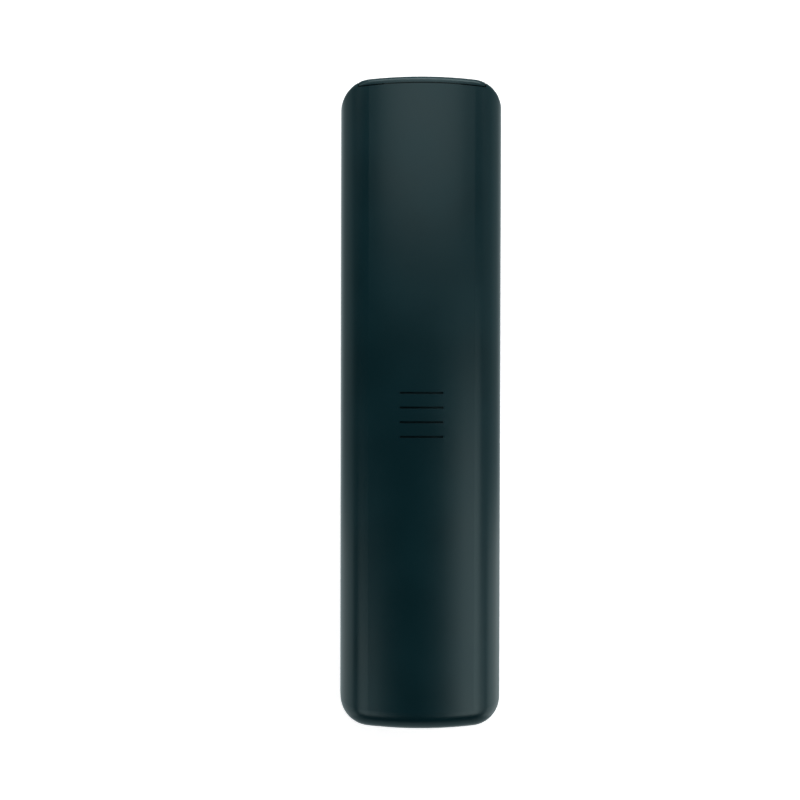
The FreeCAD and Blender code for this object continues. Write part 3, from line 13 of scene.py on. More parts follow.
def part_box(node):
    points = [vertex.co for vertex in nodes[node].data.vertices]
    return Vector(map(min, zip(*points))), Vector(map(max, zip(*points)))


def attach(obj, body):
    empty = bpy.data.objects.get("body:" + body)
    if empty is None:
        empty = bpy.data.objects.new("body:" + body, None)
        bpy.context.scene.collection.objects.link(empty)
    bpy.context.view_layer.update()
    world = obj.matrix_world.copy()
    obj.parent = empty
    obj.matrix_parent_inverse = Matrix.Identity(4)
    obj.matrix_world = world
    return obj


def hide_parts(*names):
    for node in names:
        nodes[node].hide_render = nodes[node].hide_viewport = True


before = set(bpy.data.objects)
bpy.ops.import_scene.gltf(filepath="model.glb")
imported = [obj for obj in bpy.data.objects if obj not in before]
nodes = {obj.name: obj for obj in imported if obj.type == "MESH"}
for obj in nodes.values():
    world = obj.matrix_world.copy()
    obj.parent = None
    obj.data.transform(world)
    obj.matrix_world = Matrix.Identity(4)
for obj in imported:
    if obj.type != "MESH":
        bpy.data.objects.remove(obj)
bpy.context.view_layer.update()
MM = 0.001

# %% [markdown]
# ## Shared effects
# A moulded plastic is never one flat colour: the tool leaves a fine spark-eroded grain, and the
# pigment and the gloss drift a little over the part. Both could be painted into every material by
# hand. They are node groups here, because one group can serve all the plastics with other numbers.

# %% A helper that opens a shader node group
def open_group(name, inputs, outputs):
    """A new node group with its named sockets; returns the group, its input node and its output node."""
    group = bpy.data.node_groups.new(name, "ShaderNodeTree")
    for title, kind, start in inputs:
        socket = group.interface.new_socket(title, in_out="INPUT", socket_type=kind)
        socket.default_value = start
    for title, kind in outputs:
        group.interface.new_socket(title, in_out="OUTPUT", socket_type=kind)
    return group, group.nodes.new("NodeGroupInput"), group.nodes.new("NodeGroupOutput")


def add(tree, kind, **settings):
    """A new node whose properties and unlinked sockets are set by name."""
    node = tree.nodes.new(kind)
    for name, value in settings.items():
        if name in node.inputs:
            node.inputs[name].default_value = value
        else:
            setattr(node, name, value)
    return node


# %% [markdown]
# The grain is left by the tool, whose cavity was eroded by sparks. It could be a picture repeated
# over the part, but that needs a flattened surface. A noise in space needs none, and two sizes of
# noise together keep it from looking like an even sand.

# %% Grain: two noises of different size, added as a height
def make_grain():
    """Height = fine noise + half of a noise three times coarser, both on Object coordinates."""
    group, start, end = open_group("moulded_grain", [("Scale", "NodeSocketFloat", 5000.0)],
                                   [("Height", "NodeSocketFloat")])
    place = add(group, "ShaderNodeTexCoord")
    fine = add(group, "ShaderNodeTexNoise", Detail=2.0, Roughness=0.6)
    coarse = add(group, "ShaderNodeTexNoise", Detail=1.0, Roughness=0.5)
    third = add(group, "ShaderNodeMath", operation="DIVIDE")
    third.inputs[1].default_value = 3.0
    both = add(group, "ShaderNodeMath", operation="MULTIPLY_ADD")
    both.inputs[1].default_value = 0.5
    link = group.links.new
    link(start.outputs["Scale"], fine.inputs["Scale"])
    link(start.outputs["Scale"], third.inputs[0])
    link(third.outputs[0], coarse.inputs["Scale"])
    for noise in (fine, coarse):
        link(place.outputs["Object"], noise.inputs["Vector"])
    link(coarse.outputs["Fac"], both.inputs[0])
    link(fine.outputs["Fac"], both.inputs[2])
    link(both.outputs[0], end.inputs["Height"])
    return group


grain = make_grain()


# %% [markdown]
# The drift comes from the way the plastic flowed into the tool and from the hands that wiped the
# part. Painting it would tie it to one piece. One slow noise drives both the colour and the gloss,
# because on a real part the paler places are often the duller ones as well.

# %% Drift: a slow change of colour and gloss over the part
def make_drift():
    """Colour goes from Shade to Tint and Gloss from Low to High as a slow noise goes from 0.2 to 0.8."""
    group, start, end = open_group(
        "slow_drift",
        [("Shade", "NodeSocketColor", (0, 0, 0, 1)), ("Tint", "NodeSocketColor", (1, 1, 1, 1)),
         ("Low", "NodeSocketFloat", 0.4), ("High", "NodeSocketFloat", 0.5),
         ("Scale", "NodeSocketFloat", 60.0)],
        [("Colour", "NodeSocketColor"), ("Gloss", "NodeSocketFloat")])
    place = add(group, "ShaderNodeTexCoord")
    slow = add(group, "ShaderNodeTexNoise", Detail=1.0, Roughness=0.4)
    spread = add(group, "ShaderNodeMapRange", interpolation_type="SMOOTHSTEP")
    spread.inputs["From Min"].default_value = 0.2
    spread.inputs["From Max"].default_value = 0.8
    colour = add(group, "ShaderNodeMix", data_type="RGBA")
    gloss = add(group, "ShaderNodeMix", data_type="FLOAT")
    link = group.links.new
    link(place.outputs["Object"], slow.inputs["Vector"])
    link(start.outputs["Scale"], slow.inputs["Scale"])
    link(slow.outputs["Fac"], spread.inputs["Value"])
    for mix, low, high in ((colour, "Shade", "Tint"), (gloss, "Low", "High")):
        sockets = [s for s in mix.inputs if s.enabled]
        link(spread.outputs["Result"], sockets[0])
        link(start.outputs[low], sockets[1])
        link(start.outputs[high], sockets[2])
    link(next(s for s in colour.outputs if s.enabled), end.inputs["Colour"])
    link(next(s for s in gloss.outputs if s.enabled), end.inputs["Gloss"])
    return group


drift = make_drift()


# %% [markdown]
# Rolled strip and drawn wire are scratched along their length by the tools they pass. Thin grooves
# could be modelled, thousands of them. A noise that is stretched along one direction looks the same.

# %% Drawn metal: fine lines along one direction
def make_drawn():
    """Height = a noise whose coordinates are squeezed along the drawing direction, so it turns to lines."""
    group, start, end = open_group(
        "drawn_lines", [("Stretch", "NodeSocketVector", (1, 1, 1)), ("Scale", "NodeSocketFloat", 3000.0)],
        [("Height", "NodeSocketFloat")])
    place = add(group, "ShaderNodeTexCoord")
    squeeze = add(group, "ShaderNodeVectorMath", operation="MULTIPLY")
    lines = add(group, "ShaderNodeTexNoise", Detail=4.0, Roughness=0.65)
    link = group.links.new
    link(place.outputs["Object"], squeeze.inputs[0])
    link(start.outputs["Stretch"], squeeze.inputs[1])
    link(squeeze.outputs[0], lines.inputs["Vector"])
    link(start.outputs["Scale"], lines.inputs["Scale"])
    link(lines.outputs["Fac"], end.inputs["Height"])
    return group


drawn = make_drawn()
print("effects:", [group.name for group in bpy.data.node_groups])

# %% [markdown]
# ## Finishes
# The shell is a dark plastic with a hint of teal, so dark that most of what the eye sees on it is
# the light of the room. Its look is therefore settled by its roughness more than by its colour, and
# the reflection itself is slightly teal, as in the photograph. A plain Principled shader with a
# fixed roughness would look sprayed on, so roughness and colour both drift, and the grain goes into
# the normal as a bump of a few thousandths of a millimetre.

# %% Plastic and rubber
def moulded(name, colour, gloss, spread=0.12, scale=60.0, grain_scale=5000.0, depth=0.004, **fixed):
    """A moulded material: colour * (1 -/+ spread), roughness from gloss[0] to gloss[1], grain depth in mm."""
    material = bpy.data.materials.new(name)
    material.use_nodes = True
    tree = material.node_tree
    shader = tree.nodes["Principled BSDF"]
    base = np.array(colour)
    changes = add(tree, "ShaderNodeGroup", node_tree=drift, Low=gloss[0], High=gloss[1], Scale=scale)
    changes.inputs["Shade"].default_value = (*np.clip(base * (1 - spread), 0, 1), 1)
    changes.inputs["Tint"].default_value = (*np.clip(base * (1 + spread), 0, 1), 1)
    bumps = add(tree, "ShaderNodeGroup", node_tree=grain, Scale=grain_scale)
    relief = add(tree, "ShaderNodeBump", Strength=1.0, Distance=depth * MM)
    tree.links.new(changes.outputs["Colour"], shader.inputs["Base Color"])
    tree.links.new(changes.outputs["Gloss"], shader.inputs["Roughness"])
    tree.links.new(bumps.outputs["Height"], relief.inputs["Height"])
    tree.links.new(relief.outputs["Normal"], shader.inputs["Normal"])
    for socket, value in fixed.items():
        shader.inputs[socket.replace("_", " ")].default_value = value
    return material


SHELL = (0.0006, 0.0150, 0.0200)
SHEEN = (0.78, 1.0, 1.0, 1)
shell_plastic = moulded("shell_plastic", SHELL, (0.28, 0.31), Specular_Tint=SHEEN)
case_plastic = moulded("case_plastic", SHELL, (0.30, 0.33), Specular_Tint=SHEEN)
face_plastic = moulded("face_plastic", (0.011, 0.012, 0.013), (0.30, 0.36), grain_scale=7000.0, depth=0.002)
chassis_plastic = moulded("chassis_plastic", (0.018, 0.019, 0.020), (0.48, 0.60), depth=0.006)
key_rubber = moulded("key_rubber", (0.030, 0.031, 0.033), (0.50, 0.58), depth=0.003)
ring_rubber = moulded("ring_rubber", (0.020, 0.021, 0.023), (0.42, 0.50), depth=0.003)
power_rubber = moulded("power_rubber", (0.42, 0.018, 0.016), (0.46, 0.54), depth=0.003)
voice_rubber = moulded("voice_rubber", (0.028, 0.105, 0.118), (0.44, 0.52), depth=0.003)
shortcut_rubber = moulded("shortcut_rubber", (0.40, 0.41, 0.42), (0.50, 0.58), depth=0.003)
mat_silicone = moulded("mat_silicone", (0.30, 0.31, 0.32), (0.62, 0.72), depth=0.006)
seal_rubber = moulded("seal_rubber", (0.020, 0.020, 0.021), (0.70, 0.80), depth=0.008)
chip_resin = moulded("chip_resin", (0.016, 0.016, 0.018), (0.45, 0.58), grain_scale=9000.0, depth=0.005)
legend_ink = moulded("legend_ink", (0.70, 0.71, 0.72), (0.45, 0.55), spread=0.04, depth=0.001)
dark_ink = moulded("dark_ink", (0.020, 0.022, 0.024), (0.45, 0.55), spread=0.04, depth=0.001)
window_plastic = moulded("window_plastic", (0.014, 0.005, 0.009), (0.08, 0.12), depth=0.0, Coat_Weight=0.5,
                         Coat_Roughness=0.05)
clear_plastic = moulded("clear_plastic", (0.82, 0.84, 0.84), (0.10, 0.16), spread=0.03, depth=0.0,
                        Transmission_Weight=0.7)
lamp_resin = moulded("lamp_resin", (0.62, 0.60, 0.72), (0.06, 0.10), spread=0.03, depth=0.0,
                     Transmission_Weight=0.6)
diode_resin = moulded("diode_resin", (0.78, 0.78, 0.66), (0.30, 0.40), spread=0.05)
print("materials, with the packed ones:", len(bpy.data.materials))

# %% [markdown]
# ## Metals
# Contacts, springs and screws are nickel or zinc on steel. As plain polished metal they would only
# show the room. So the drawn lines go into the bump, and roughness and colour drift a little here too.

# %% Metal finishes
def metal(name, colour, roughness, stretch, depth=0.003, scale=3000.0):
    """Bare or plated metal with lines across the directions in which stretch is large; depth in mm."""
    material = bpy.data.materials.new(name)
    material.use_nodes = True
    tree = material.node_tree
    shader = tree.nodes["Principled BSDF"]
    shader.inputs["Metallic"].default_value = 1.0
    changes = add(tree, "ShaderNodeGroup", node_tree=drift, Low=roughness - 0.05, High=roughness + 0.05,
                  Scale=300.0)
    changes.inputs["Shade"].default_value = (*(np.array(colour) * 0.9), 1)
    changes.inputs["Tint"].default_value = (*colour, 1)
    lines = add(tree, "ShaderNodeGroup", node_tree=drawn, Stretch=stretch, Scale=scale)
    relief = add(tree, "ShaderNodeBump", Strength=1.0, Distance=depth * MM)
    tree.links.new(changes.outputs["Colour"], shader.inputs["Base Color"])
    tree.links.new(changes.outputs["Gloss"], shader.inputs["Roughness"])
    tree.links.new(lines.outputs["Height"], relief.inputs["Height"])
    tree.links.new(relief.outputs["Normal"], shader.inputs["Normal"])
    return material


contact_nickel = metal("contact_nickel", (0.72, 0.69, 0.63), 0.26, (0.08, 1, 1))
spring_nickel = metal("spring_nickel", (0.70, 0.68, 0.64), 0.22, (1, 1, 1), depth=0.001)
screw_zinc = metal("screw_zinc", (0.60, 0.61, 0.63), 0.34, (1, 1, 0.1))
tinned_can = metal("tinned_can", (0.66, 0.66, 0.64), 0.38, (1, 0.1, 1))
cell_steel = metal("cell_steel", (0.66, 0.66, 0.66), 0.28, (1, 1, 1), depth=0.002)
print("and with the metals:", len(bpy.data.materials))

# %% [markdown]
# ## The circuit board
# The board is glass resin under a green lacquer, and the copper tracks show through as slightly
# lighter lines. Tracks could be modelled one by one. Only slits of the board can be seen behind the
# chassis, so a brick pattern with long cells stands for them, as colour alone.

# %% Lacquered board
def make_board():
    """Mortar lines of a brick pattern 3 mm by 0.7 mm are the tracks; they lighten the lacquer."""
    material = moulded("board_lacquer", (0.010, 0.105, 0.045), (0.22, 0.30), spread=0.10, depth=0.002)
    tree = material.node_tree
    shader = tree.nodes["Principled BSDF"]
    place = add(tree, "ShaderNodeTexCoord")
    tracks = add(tree, "ShaderNodeTexBrick", Scale=330.0)
    tracks.inputs["Mortar Size"].default_value = 0.035
    tracks.inputs["Brick Width"].default_value = 1.0
    tracks.inputs["Row Height"].default_value = 0.23
    lighter = add(tree, "ShaderNodeMix", data_type="RGBA")
    factor, under, over = [s for s in lighter.inputs if s.enabled]
    over.default_value = (0.035, 0.19, 0.075, 1)
    old = shader.inputs["Base Color"].links[0].from_socket
    tree.links.new(place.outputs["Object"], tracks.inputs["Vector"])
    tree.links.new(tracks.outputs["Fac"], factor)
    tree.links.new(old, under)
    tree.links.new(next(s for s in lighter.outputs if s.enabled), shader.inputs["Base Color"])
    return material


board_lacquer = make_board()
print("board lacquer:", len(board_lacquer.node_tree.nodes), "shader nodes")

# %% [markdown]
# ## Dress the frame
# A CAD piece whose shape is right keeps its mesh and only takes a finish. One table says which
# finish each piece has, so that nothing keeps the plain colour it was packed with. A later row
# overrules an earlier one, so the coloured keys come after the plain ones.

# %% Finishes of the CAD pieces
FINISHES = {
    shell_plastic: ["battery_cover"],
    case_plastic: ["front_case"],
    face_plastic: ["face_panel"],
    chassis_plastic: ["rear_chassis", "ring_pivot"],
    key_rubber: [name for name in nodes if "_key" in name or name.endswith("_rocker")],
    ring_rubber: ["direction_ring"],
    power_rubber: ["power_key"],
    voice_rubber: ["voice_key"],
    shortcut_rubber: ["shortcut_key_left", "shortcut_key_right"],
    mat_silicone: ["keypad_mat"],
    seal_rubber: ["microphone_seal"],
    chip_resin: ["radio_chip", "small_parts", "capacitor"],
    window_plastic: ["ir_window"],
    clear_plastic: ["light_pipe"],
    lamp_resin: ["ir_emitter"],
    diode_resin: ["status_diode"],
    contact_nickel: ["positive_tab", "negative_plate", "bridge_strip"],
    spring_nickel: ["negative_spring", "bridge_spring"],
    screw_zinc: ["case_screws"],
    tinned_can: ["crystal", "microphone"],
    cell_steel: ["battery_a", "battery_b"],
    board_lacquer: ["circuit_board"],
}
dressed = set()
for finish, names in FINISHES.items():
    for name in names:
        nodes[name].data.materials.clear()
        nodes[name].data.materials.append(finish)
        dressed.add(name)
print("dressed", len(dressed), "of", len(nodes), "pieces; bare:", sorted(set(nodes) - dressed))

# %% [markdown]
# ## Surfaces from arrays
# Apart from the lettering, everything new on the handset is a surface worked out with numpy. Two
# ways of making one are enough: a grid of points, for a wound wire or a turned cell, and a flat
# stroke, for a printed sign. Modelling by hand would give the same shapes, but a formula keeps each
# width and radius exact.

# %% From a grid of points to a mesh
SAME_PLACE = 1e-8


def skin(name, grid, finish, sharp):
    """A mesh over a grid of points (rows, columns, 3) whose last column joins the first.

    Points that fall together within SAME_PLACE metres, as at a pole, are merged, and the quads there
    become triangles. The faces are turned round together if they enclose a negative volume.
    """
    rows, columns = grid.shape[:2]
    row, column = np.arange(rows - 1)[:, None], np.arange(columns)[None, :]
    next_row, next_column = row + 1, (column + 1) % columns
    quads = np.stack([row * columns + column, row * columns + next_column,
                      next_row * columns + next_column, next_row * columns + column], axis=-1).reshape(-1, 4)
    points = grid.reshape(-1, 3)
    places = np.round(points / SAME_PLACE)
    _, first, where = np.unique(places, axis=0, return_index=True, return_inverse=True)
    points, quads = points[first], where.reshape(-1)[quads]
    corners = points[quads]
    volume = np.einsum("ij,ij->i", corners[:, 0], np.cross(corners[:, 1], corners[:, 2]))
    volume += np.einsum("ij,ij->i", corners[:, 0], np.cross(corners[:, 2], corners[:, 3]))
    if volume.sum() < 0:
        quads = quads[:, ::-1]
    pinched = [quads[:, k] == quads[:, (k + 1) % 4] for k in range(4)]
    whole = quads[~np.any(pinched, axis=0)].tolist()
    for k in range(4):
        lone = pinched[k] & (np.sum(pinched, axis=0) == 1)
        whole += quads[lone][:, [(k + 1) % 4, (k + 2) % 4, (k + 3) % 4]].tolist()
    mesh = bpy.data.meshes.new(name)
    mesh.from_pydata(points.tolist(), [], whole)
    return finished(name, mesh, finish, sharp)


def finished(name, mesh, finish, sharp=40.0):
    """An object at the origin around a finished mesh, smooth except over its sharp edges."""
    mesh.shade_smooth()
    mesh.set_sharp_from_angle(angle=np.radians(sharp))
    mesh.materials.append(finish)
    piece = bpy.data.objects.new(name, mesh)
    bpy.context.scene.collection.objects.link(piece)
    return piece


# %% [markdown]
# ## Contact springs
# Each spring is one nickel wire wound as a cone: wide on its contact plate, narrow where the flat
# end of the cell presses. The CAD solid is the same coil in short arcs. Here the wire follows the
# true spiral, so its highlights run on without a break.

# %% Wind the two springs
def coil(node, way, turns=4.0, base=3.2, tip=1.9, wire=0.3, sides=18, steps=360):
    """A tube about a conical spiral: radius and height both grow evenly with the angle.

    The spiral goes from radius base to radius tip and the wire has the radius wire, all in mm. The
    wire's section is a circle in the plane of the outward direction and of that direction crossed
    with the wire's own; at both ends it shrinks to a point. With way -1 the coil is turned round.
    """
    low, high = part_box(node)
    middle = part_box("battery_b" if way < 0 else "battery_a")
    centre_x, centre_z = (middle[0].x + middle[1].x) / 2, (middle[0].z + middle[1].z) / 2
    length = (high.y - low.y) / MM - 2 * wire
    share = np.linspace(0, 1, steps)
    angle = 2 * np.pi * turns * share
    radius = base + (tip - base) * share
    if way < 0:
        angle = np.pi - angle
    outward = np.stack([np.cos(angle), np.zeros(steps), np.sin(angle)], axis=1)
    spiral = radius[:, None] * outward
    spiral[:, 1] = length * share
    along = np.gradient(spiral, axis=0)
    along /= np.linalg.norm(along, axis=1)[:, None]
    across = np.cross(along, outward)
    across /= np.linalg.norm(across, axis=1)[:, None]
    outward = np.cross(across, along)
    cap = np.sin(np.linspace(0, np.pi / 2, 6))
    thick = np.concatenate([cap * wire, np.full(steps - 2 * len(cap), wire), cap[::-1] * wire])
    around = np.linspace(0, 2 * np.pi, sides, endpoint=False)[None, :, None]
    ring = np.cos(around) * outward[:, None, :] + np.sin(around) * across[:, None, :]
    tube = spiral[:, None, :] + thick[:, None, None] * ring
    start = low.y / MM + wire if way > 0 else high.y / MM - wire
    tube[..., 1] = start + way * tube[..., 1]
    tube = tube * MM + np.array([centre_x, 0, centre_z])
    piece = skin(node + "_wire", tube, spring_nickel, sharp=60.0)
    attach(piece, "handset")
    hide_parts(node)
    print(node, "wire, mm:", round(float(np.linalg.norm(np.diff(spiral, axis=0), axis=1).sum()), 1))


for node, way in (("negative_spring", -1), ("bridge_spring", 1)):
    coil(node, way)

# %% [markdown]
# ## Cells
# A small cell is a steel can in a printed sleeve. The sleeve shrinks over the can's shoulders, the
# button stands in a dark insulating ring, and the flat end has a pressed groove. Each of them is a
# profile turned about the cell's axis, and the sleeve's print is bands along that axis.

# %% Print of the sleeve
def make_sleeve():
    """Bands by the distance along the cell, given by the sleeve's own attribute from 0 to 1."""
    material = moulded("cell_sleeve", (0.5, 0.5, 0.5), (0.20, 0.28), spread=0.03, depth=0.001,
                       Coat_Weight=0.3, Coat_Roughness=0.08)
    tree = material.node_tree
    shader = tree.nodes["Principled BSDF"]
    along = add(tree, "ShaderNodeAttribute", attribute_name="along")
    bands = add(tree, "ShaderNodeValToRGB")
    ramp = bands.color_ramp
    ramp.interpolation = "CONSTANT"
    dark, pale, blue = (0.030, 0.036, 0.042, 1), (0.62, 0.63, 0.62, 1), (0.05, 0.17, 0.26, 1)
    stops = ((0.0, dark), (0.30, pale), (0.325, dark), (0.74, pale), (0.765, blue))
    ramp.elements[0].color = stops[0][1]
    ramp.elements.remove(ramp.elements[1])
    for place, colour in stops[1:]:
        ramp.elements.new(place).color = colour
    tree.links.new(along.outputs["Fac"], bands.inputs["Fac"])
    tree.links.new(bands.outputs["Color"], shader.inputs["Base Color"])
    return material


cell_sleeve = make_sleeve()

# %% [markdown]
# The can, its button and the ring are pressed and drawn round, so each is a profile carried round an
# axis. A lathe tool in the program would do the same. With arrays the sleeve can also carry the
# distance along the cell, which places its print.

# %% Turn a profile about a cell's axis
def turned(name, profile, node, way, finish, segments=96):
    """A closed profile of (distance along, radius) in mm, carried round the cell's axis."""
    low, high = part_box(node)
    centre_x, centre_z = (low.x + high.x) / 2, (low.z + high.z) / 2
    start = low.y if way > 0 else high.y
    profile = np.array(profile) * MM
    around = np.linspace(0, 2 * np.pi, segments, endpoint=False)
    along = start + way * np.broadcast_to(profile[:, :1], (len(profile), segments))
    grid = np.stack([centre_x + profile[:, 1:] * np.cos(around), along,
                     centre_z + profile[:, 1:] * np.sin(around)], axis=-1)
    piece = skin(name, grid, finish, sharp=35.0)
    co = np.empty(len(piece.data.vertices) * 3)
    piece.data.vertices.foreach_get("co", co)
    share = (co[1::3] - start) * way / (high.y - low.y)
    piece.data.attributes.new("along", "FLOAT", "POINT").data.foreach_set("value", share.astype(np.float32))
    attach(piece, "handset")
    return piece


def bend(start, end, corner, steps=6):
    """Points of a quarter arc from start to end whose tangents meet at the corner."""
    t = np.linspace(0, np.pi / 2, steps)[:, None]
    start, end, corner = map(np.array, (start, end, corner))
    centre = start + end - corner
    return (centre + (start - centre) * np.cos(t) + (end - centre) * np.sin(t)).tolist()


# %% Profiles of a cell, as distance from the flat end and radius in mm
SLEEVE = ([[0.25, 4.35]] + bend([0.0, 4.55], [0.55, 5.12], [0.0, 5.12])
          + bend([43.1, 5.12], [43.6, 4.6], [43.6, 5.12])
          + [[43.62, 4.1], [43.5, 4.1], [43.3, 4.4], [0.5, 4.4], [0.25, 4.35]])
CAN = [[0.12, 0.0], [0.12, 1.2], [0.2, 2.2], [0.2, 2.6], [0.05, 3.0], [0.05, 3.7], [0.2, 4.0], [0.2, 4.4],
       [43.45, 4.4], [43.5, 4.1], [43.56, 3.6], [43.56, 0.0]]
RING = [[43.5, 2.0], [43.68, 2.05], [43.68, 3.3], [43.5, 3.4], [43.5, 2.0]]
BUTTON = [[43.5, 1.9]] + bend([44.2, 1.9], [44.47, 1.63], [44.47, 1.9]) + [
    [44.47, 0.6], [44.42, 0.0], [43.5, 0.0]]

# %% Turn the two cells, head to tail
cells = []
for node, way in (("battery_a", 1), ("battery_b", -1)):
    sleeve = turned(node + "_sleeve", SLEEVE, node, way, cell_sleeve)
    can = turned(node + "_can", CAN, node, way, cell_steel)
    ring = turned(node + "_ring", RING, node, way, chip_resin)
    button = turned(node + "_button", BUTTON, node, way, cell_steel)
    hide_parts(node)
    cells += [sleeve, can, ring, button]
print("cells:", len(cells), "turned surfaces")

# %% [markdown]
# ## Signs
# The keys carry printed signs, drawn as a person facing the keys sees them: u to the right, v up,
# w out of the key. Lettering comes from the built-in typeface. The other signs are strokes of even
# width with round ends, because a pen line is how such signs are designed.

# %% A stroke of even width
NARROWEST, INK = 0.002, 0.02


def stroke(path, width, lift=INK, sink=INK, closed=False):
    """The plate under a pen line, from sink below the key's face to lift above it, all in mm.

    Each point of the path spreads to both sides along the bisector of its corner, by half the width
    over the cosine of half the turn. Round ends come from extra points whose half width falls as a
    circle does: sqrt(r^2 - d^2).
    """
    path = np.array(path, float)
    half = np.full(len(path), width / 2)
    if not closed:
        turn = np.linspace(0, np.pi / 2, 6)[1:]
        first, last = path[0] - path[1], path[-1] - path[-2]
        first, last = first / np.linalg.norm(first), last / np.linalg.norm(last)
        reach, thin = np.sin(turn) * width / 2, np.maximum(np.cos(turn) * width / 2, NARROWEST)
        before, after = path[0] + reach[:, None] * first, path[-1] + reach[:, None] * last
        path = np.concatenate([before[::-1], path, after])
        half = np.concatenate([thin[::-1], half, thin])
    loop = np.concatenate([path[-1:], path, path[:1]]) if closed else path
    runs = np.diff(loop, axis=0)
    runs /= np.linalg.norm(runs, axis=1)[:, None]
    if not closed:
        runs = np.concatenate([runs[:1], runs, runs[-1:]])
    along = runs[:-1] + runs[1:]
    along /= np.linalg.norm(along, axis=1)[:, None]
    half = half / (along * runs[1:]).sum(axis=1)
    side = np.stack([-along[:, 1], along[:, 0]], axis=1) * half[:, None]
    left, right = path + side, path - side
    count = len(path)
    edges = ((left, lift), (right, lift), (right, -sink), (left, -sink))
    rings = np.stack([np.c_[edge, np.full(count, level)] for edge, level in edges], axis=1)
    row = np.arange(count if closed else count - 1)[:, None]
    corner = np.arange(4)[None, :]
    faces = np.stack([row * 4 + corner, row * 4 + (corner + 1) % 4, (row + 1) % count * 4 + (corner + 1) % 4,
                      (row + 1) % count * 4 + corner], axis=-1).reshape(-1, 4)[:, ::-1].tolist()
    if not closed:
        faces += [[0, 1, 2, 3], [count * 4 - 1, count * 4 - 2, count * 4 - 3, count * 4 - 4]]
    return rings.reshape(-1, 3), faces


# %% A plate over an outline, and several plates as one
def plate(outline, lift=INK, sink=INK):
    """A flat plate over an outline that runs anticlockwise, in mm."""
    outline = np.array(outline, float)
    count = len(outline)
    points = np.concatenate([np.c_[outline, np.full(count, lift)], np.c_[outline, np.full(count, -sink)]])
    k = np.arange(count)
    sides = np.stack([k, k + count, (k + 1) % count + count, (k + 1) % count], axis=1).tolist()
    return points, [k.tolist(), (k[::-1] + count).tolist()] + sides


def joined(parts, step=0.003):
    """Several plates as one list of points, in metres, and faces.

    Each top lies a hair, step mm, above the one before it, so that no two crossing tops share a plane.
    """
    starts = np.cumsum([0] + [len(points) for points, _ in parts])
    raised = [points + np.array([0, 0, k * step]) * (points[:, 2:] > 0)
              for k, (points, _) in enumerate(parts)]
    faces = [[index + start for index in face] for start, part in zip(starts, parts) for face in part[1]]
    return np.concatenate(raised) * MM, faces


# %% Pen lines: straight runs and arcs
def line(*corners, steps=2):
    """Points along straight runs from corner to corner."""
    corners = np.array(corners, float)
    share = np.linspace(0, 1, steps)[:, None]
    runs = [start + (end - start) * share for start, end in zip(corners, corners[1:])]
    return np.concatenate([runs[0]] + [run[1:] for run in runs[1:]])


def arc(u, v, radius, start, end, steps=40):
    """Points on a circle about (u, v) from one angle to another, in degrees, anticlockwise from +u."""
    turn = np.radians(np.linspace(start, end, steps))
    return np.stack([u + radius * np.cos(turn), v + radius * np.sin(turn)], axis=1)


def ring_line(u, v, radius, steps=48):
    """A closed circle."""
    return arc(u, v, radius, 0, 360, steps + 1)[:-1]


# %% [markdown]
# A sign is printed on the key and goes down with it. As a picture it would need a flattened face and
# would blur in a close view. As a thin plate it stays sharp, and it rides on the body of its key.

# %% Lay a sign on a key
FACING = np.array([-1, 1, -1])


def key_middle(node):
    """The middle of the outer face of a key, in metres; the keys look down."""
    low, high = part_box(node)
    return np.array([(low.x + high.x) / 2, (low.y + high.y) / 2, low.z])


def printed(name, node, mesh, finish, body=None):
    """A finished sign that moves with its key."""
    piece = finished(name, mesh, finish, sharp=30.0)
    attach(piece, body or node)
    return piece


def sign(name, node, parts, finish=legend_ink, body=None):
    """Joined plates on the face of a key: (u, v, w) turns to (-u, v, -w) about the key's middle."""
    points, faces = joined(parts)
    mesh = bpy.data.meshes.new(name)
    mesh.from_pydata((points * FACING + key_middle(node)).tolist(), [], faces)
    return printed(name, node, mesh, finish, body)


def lettering(name, node, words, size):
    """Type in the built-in typeface, size mm high, made a mesh and laid on the key in the same way."""
    curve = bpy.data.curves.new(name, "FONT")
    curve.body, curve.size, curve.extrude = words, size * MM, INK * MM
    curve.align_x, curve.align_y = "CENTER", "CENTER"
    curve.resolution_u = 6
    draft = bpy.data.objects.new(name + "_draft", curve)
    mesh = bpy.data.meshes.new_from_object(draft)
    bpy.data.objects.remove(draft)
    bpy.data.curves.remove(curve)
    co = np.empty(len(mesh.vertices) * 3)
    mesh.vertices.foreach_get("co", co)
    co = co.reshape(-1, 3)
    co[:, :2] -= (co[:, :2].min(axis=0) + co[:, :2].max(axis=0)) / 2
    mesh.vertices.foreach_set("co", (co * FACING + key_middle(node)).astype(np.float32).ravel())
    return printed(name, node, mesh, legend_ink)


# %% [markdown]
# The digits and the words are type. The rest are strokes: the power sign is an open circle with a
# bar, the voice sign a capsule in a cradle, and so on round the keypad.

# %% Digits and words
signs = []
for digit in range(10):
    node = f"number_key_{digit}"
    signs.append(lettering(f"sign_{digit}", node, str(digit), 3.6))
signs.append(lettering("sign_ok", "ok_key", "OK", 3.6))
signs.append(lettering("sign_vol", "volume_rocker", "VOL", 2.3))
signs.append(lettering("sign_ch", "channel_rocker", "CH", 2.3))

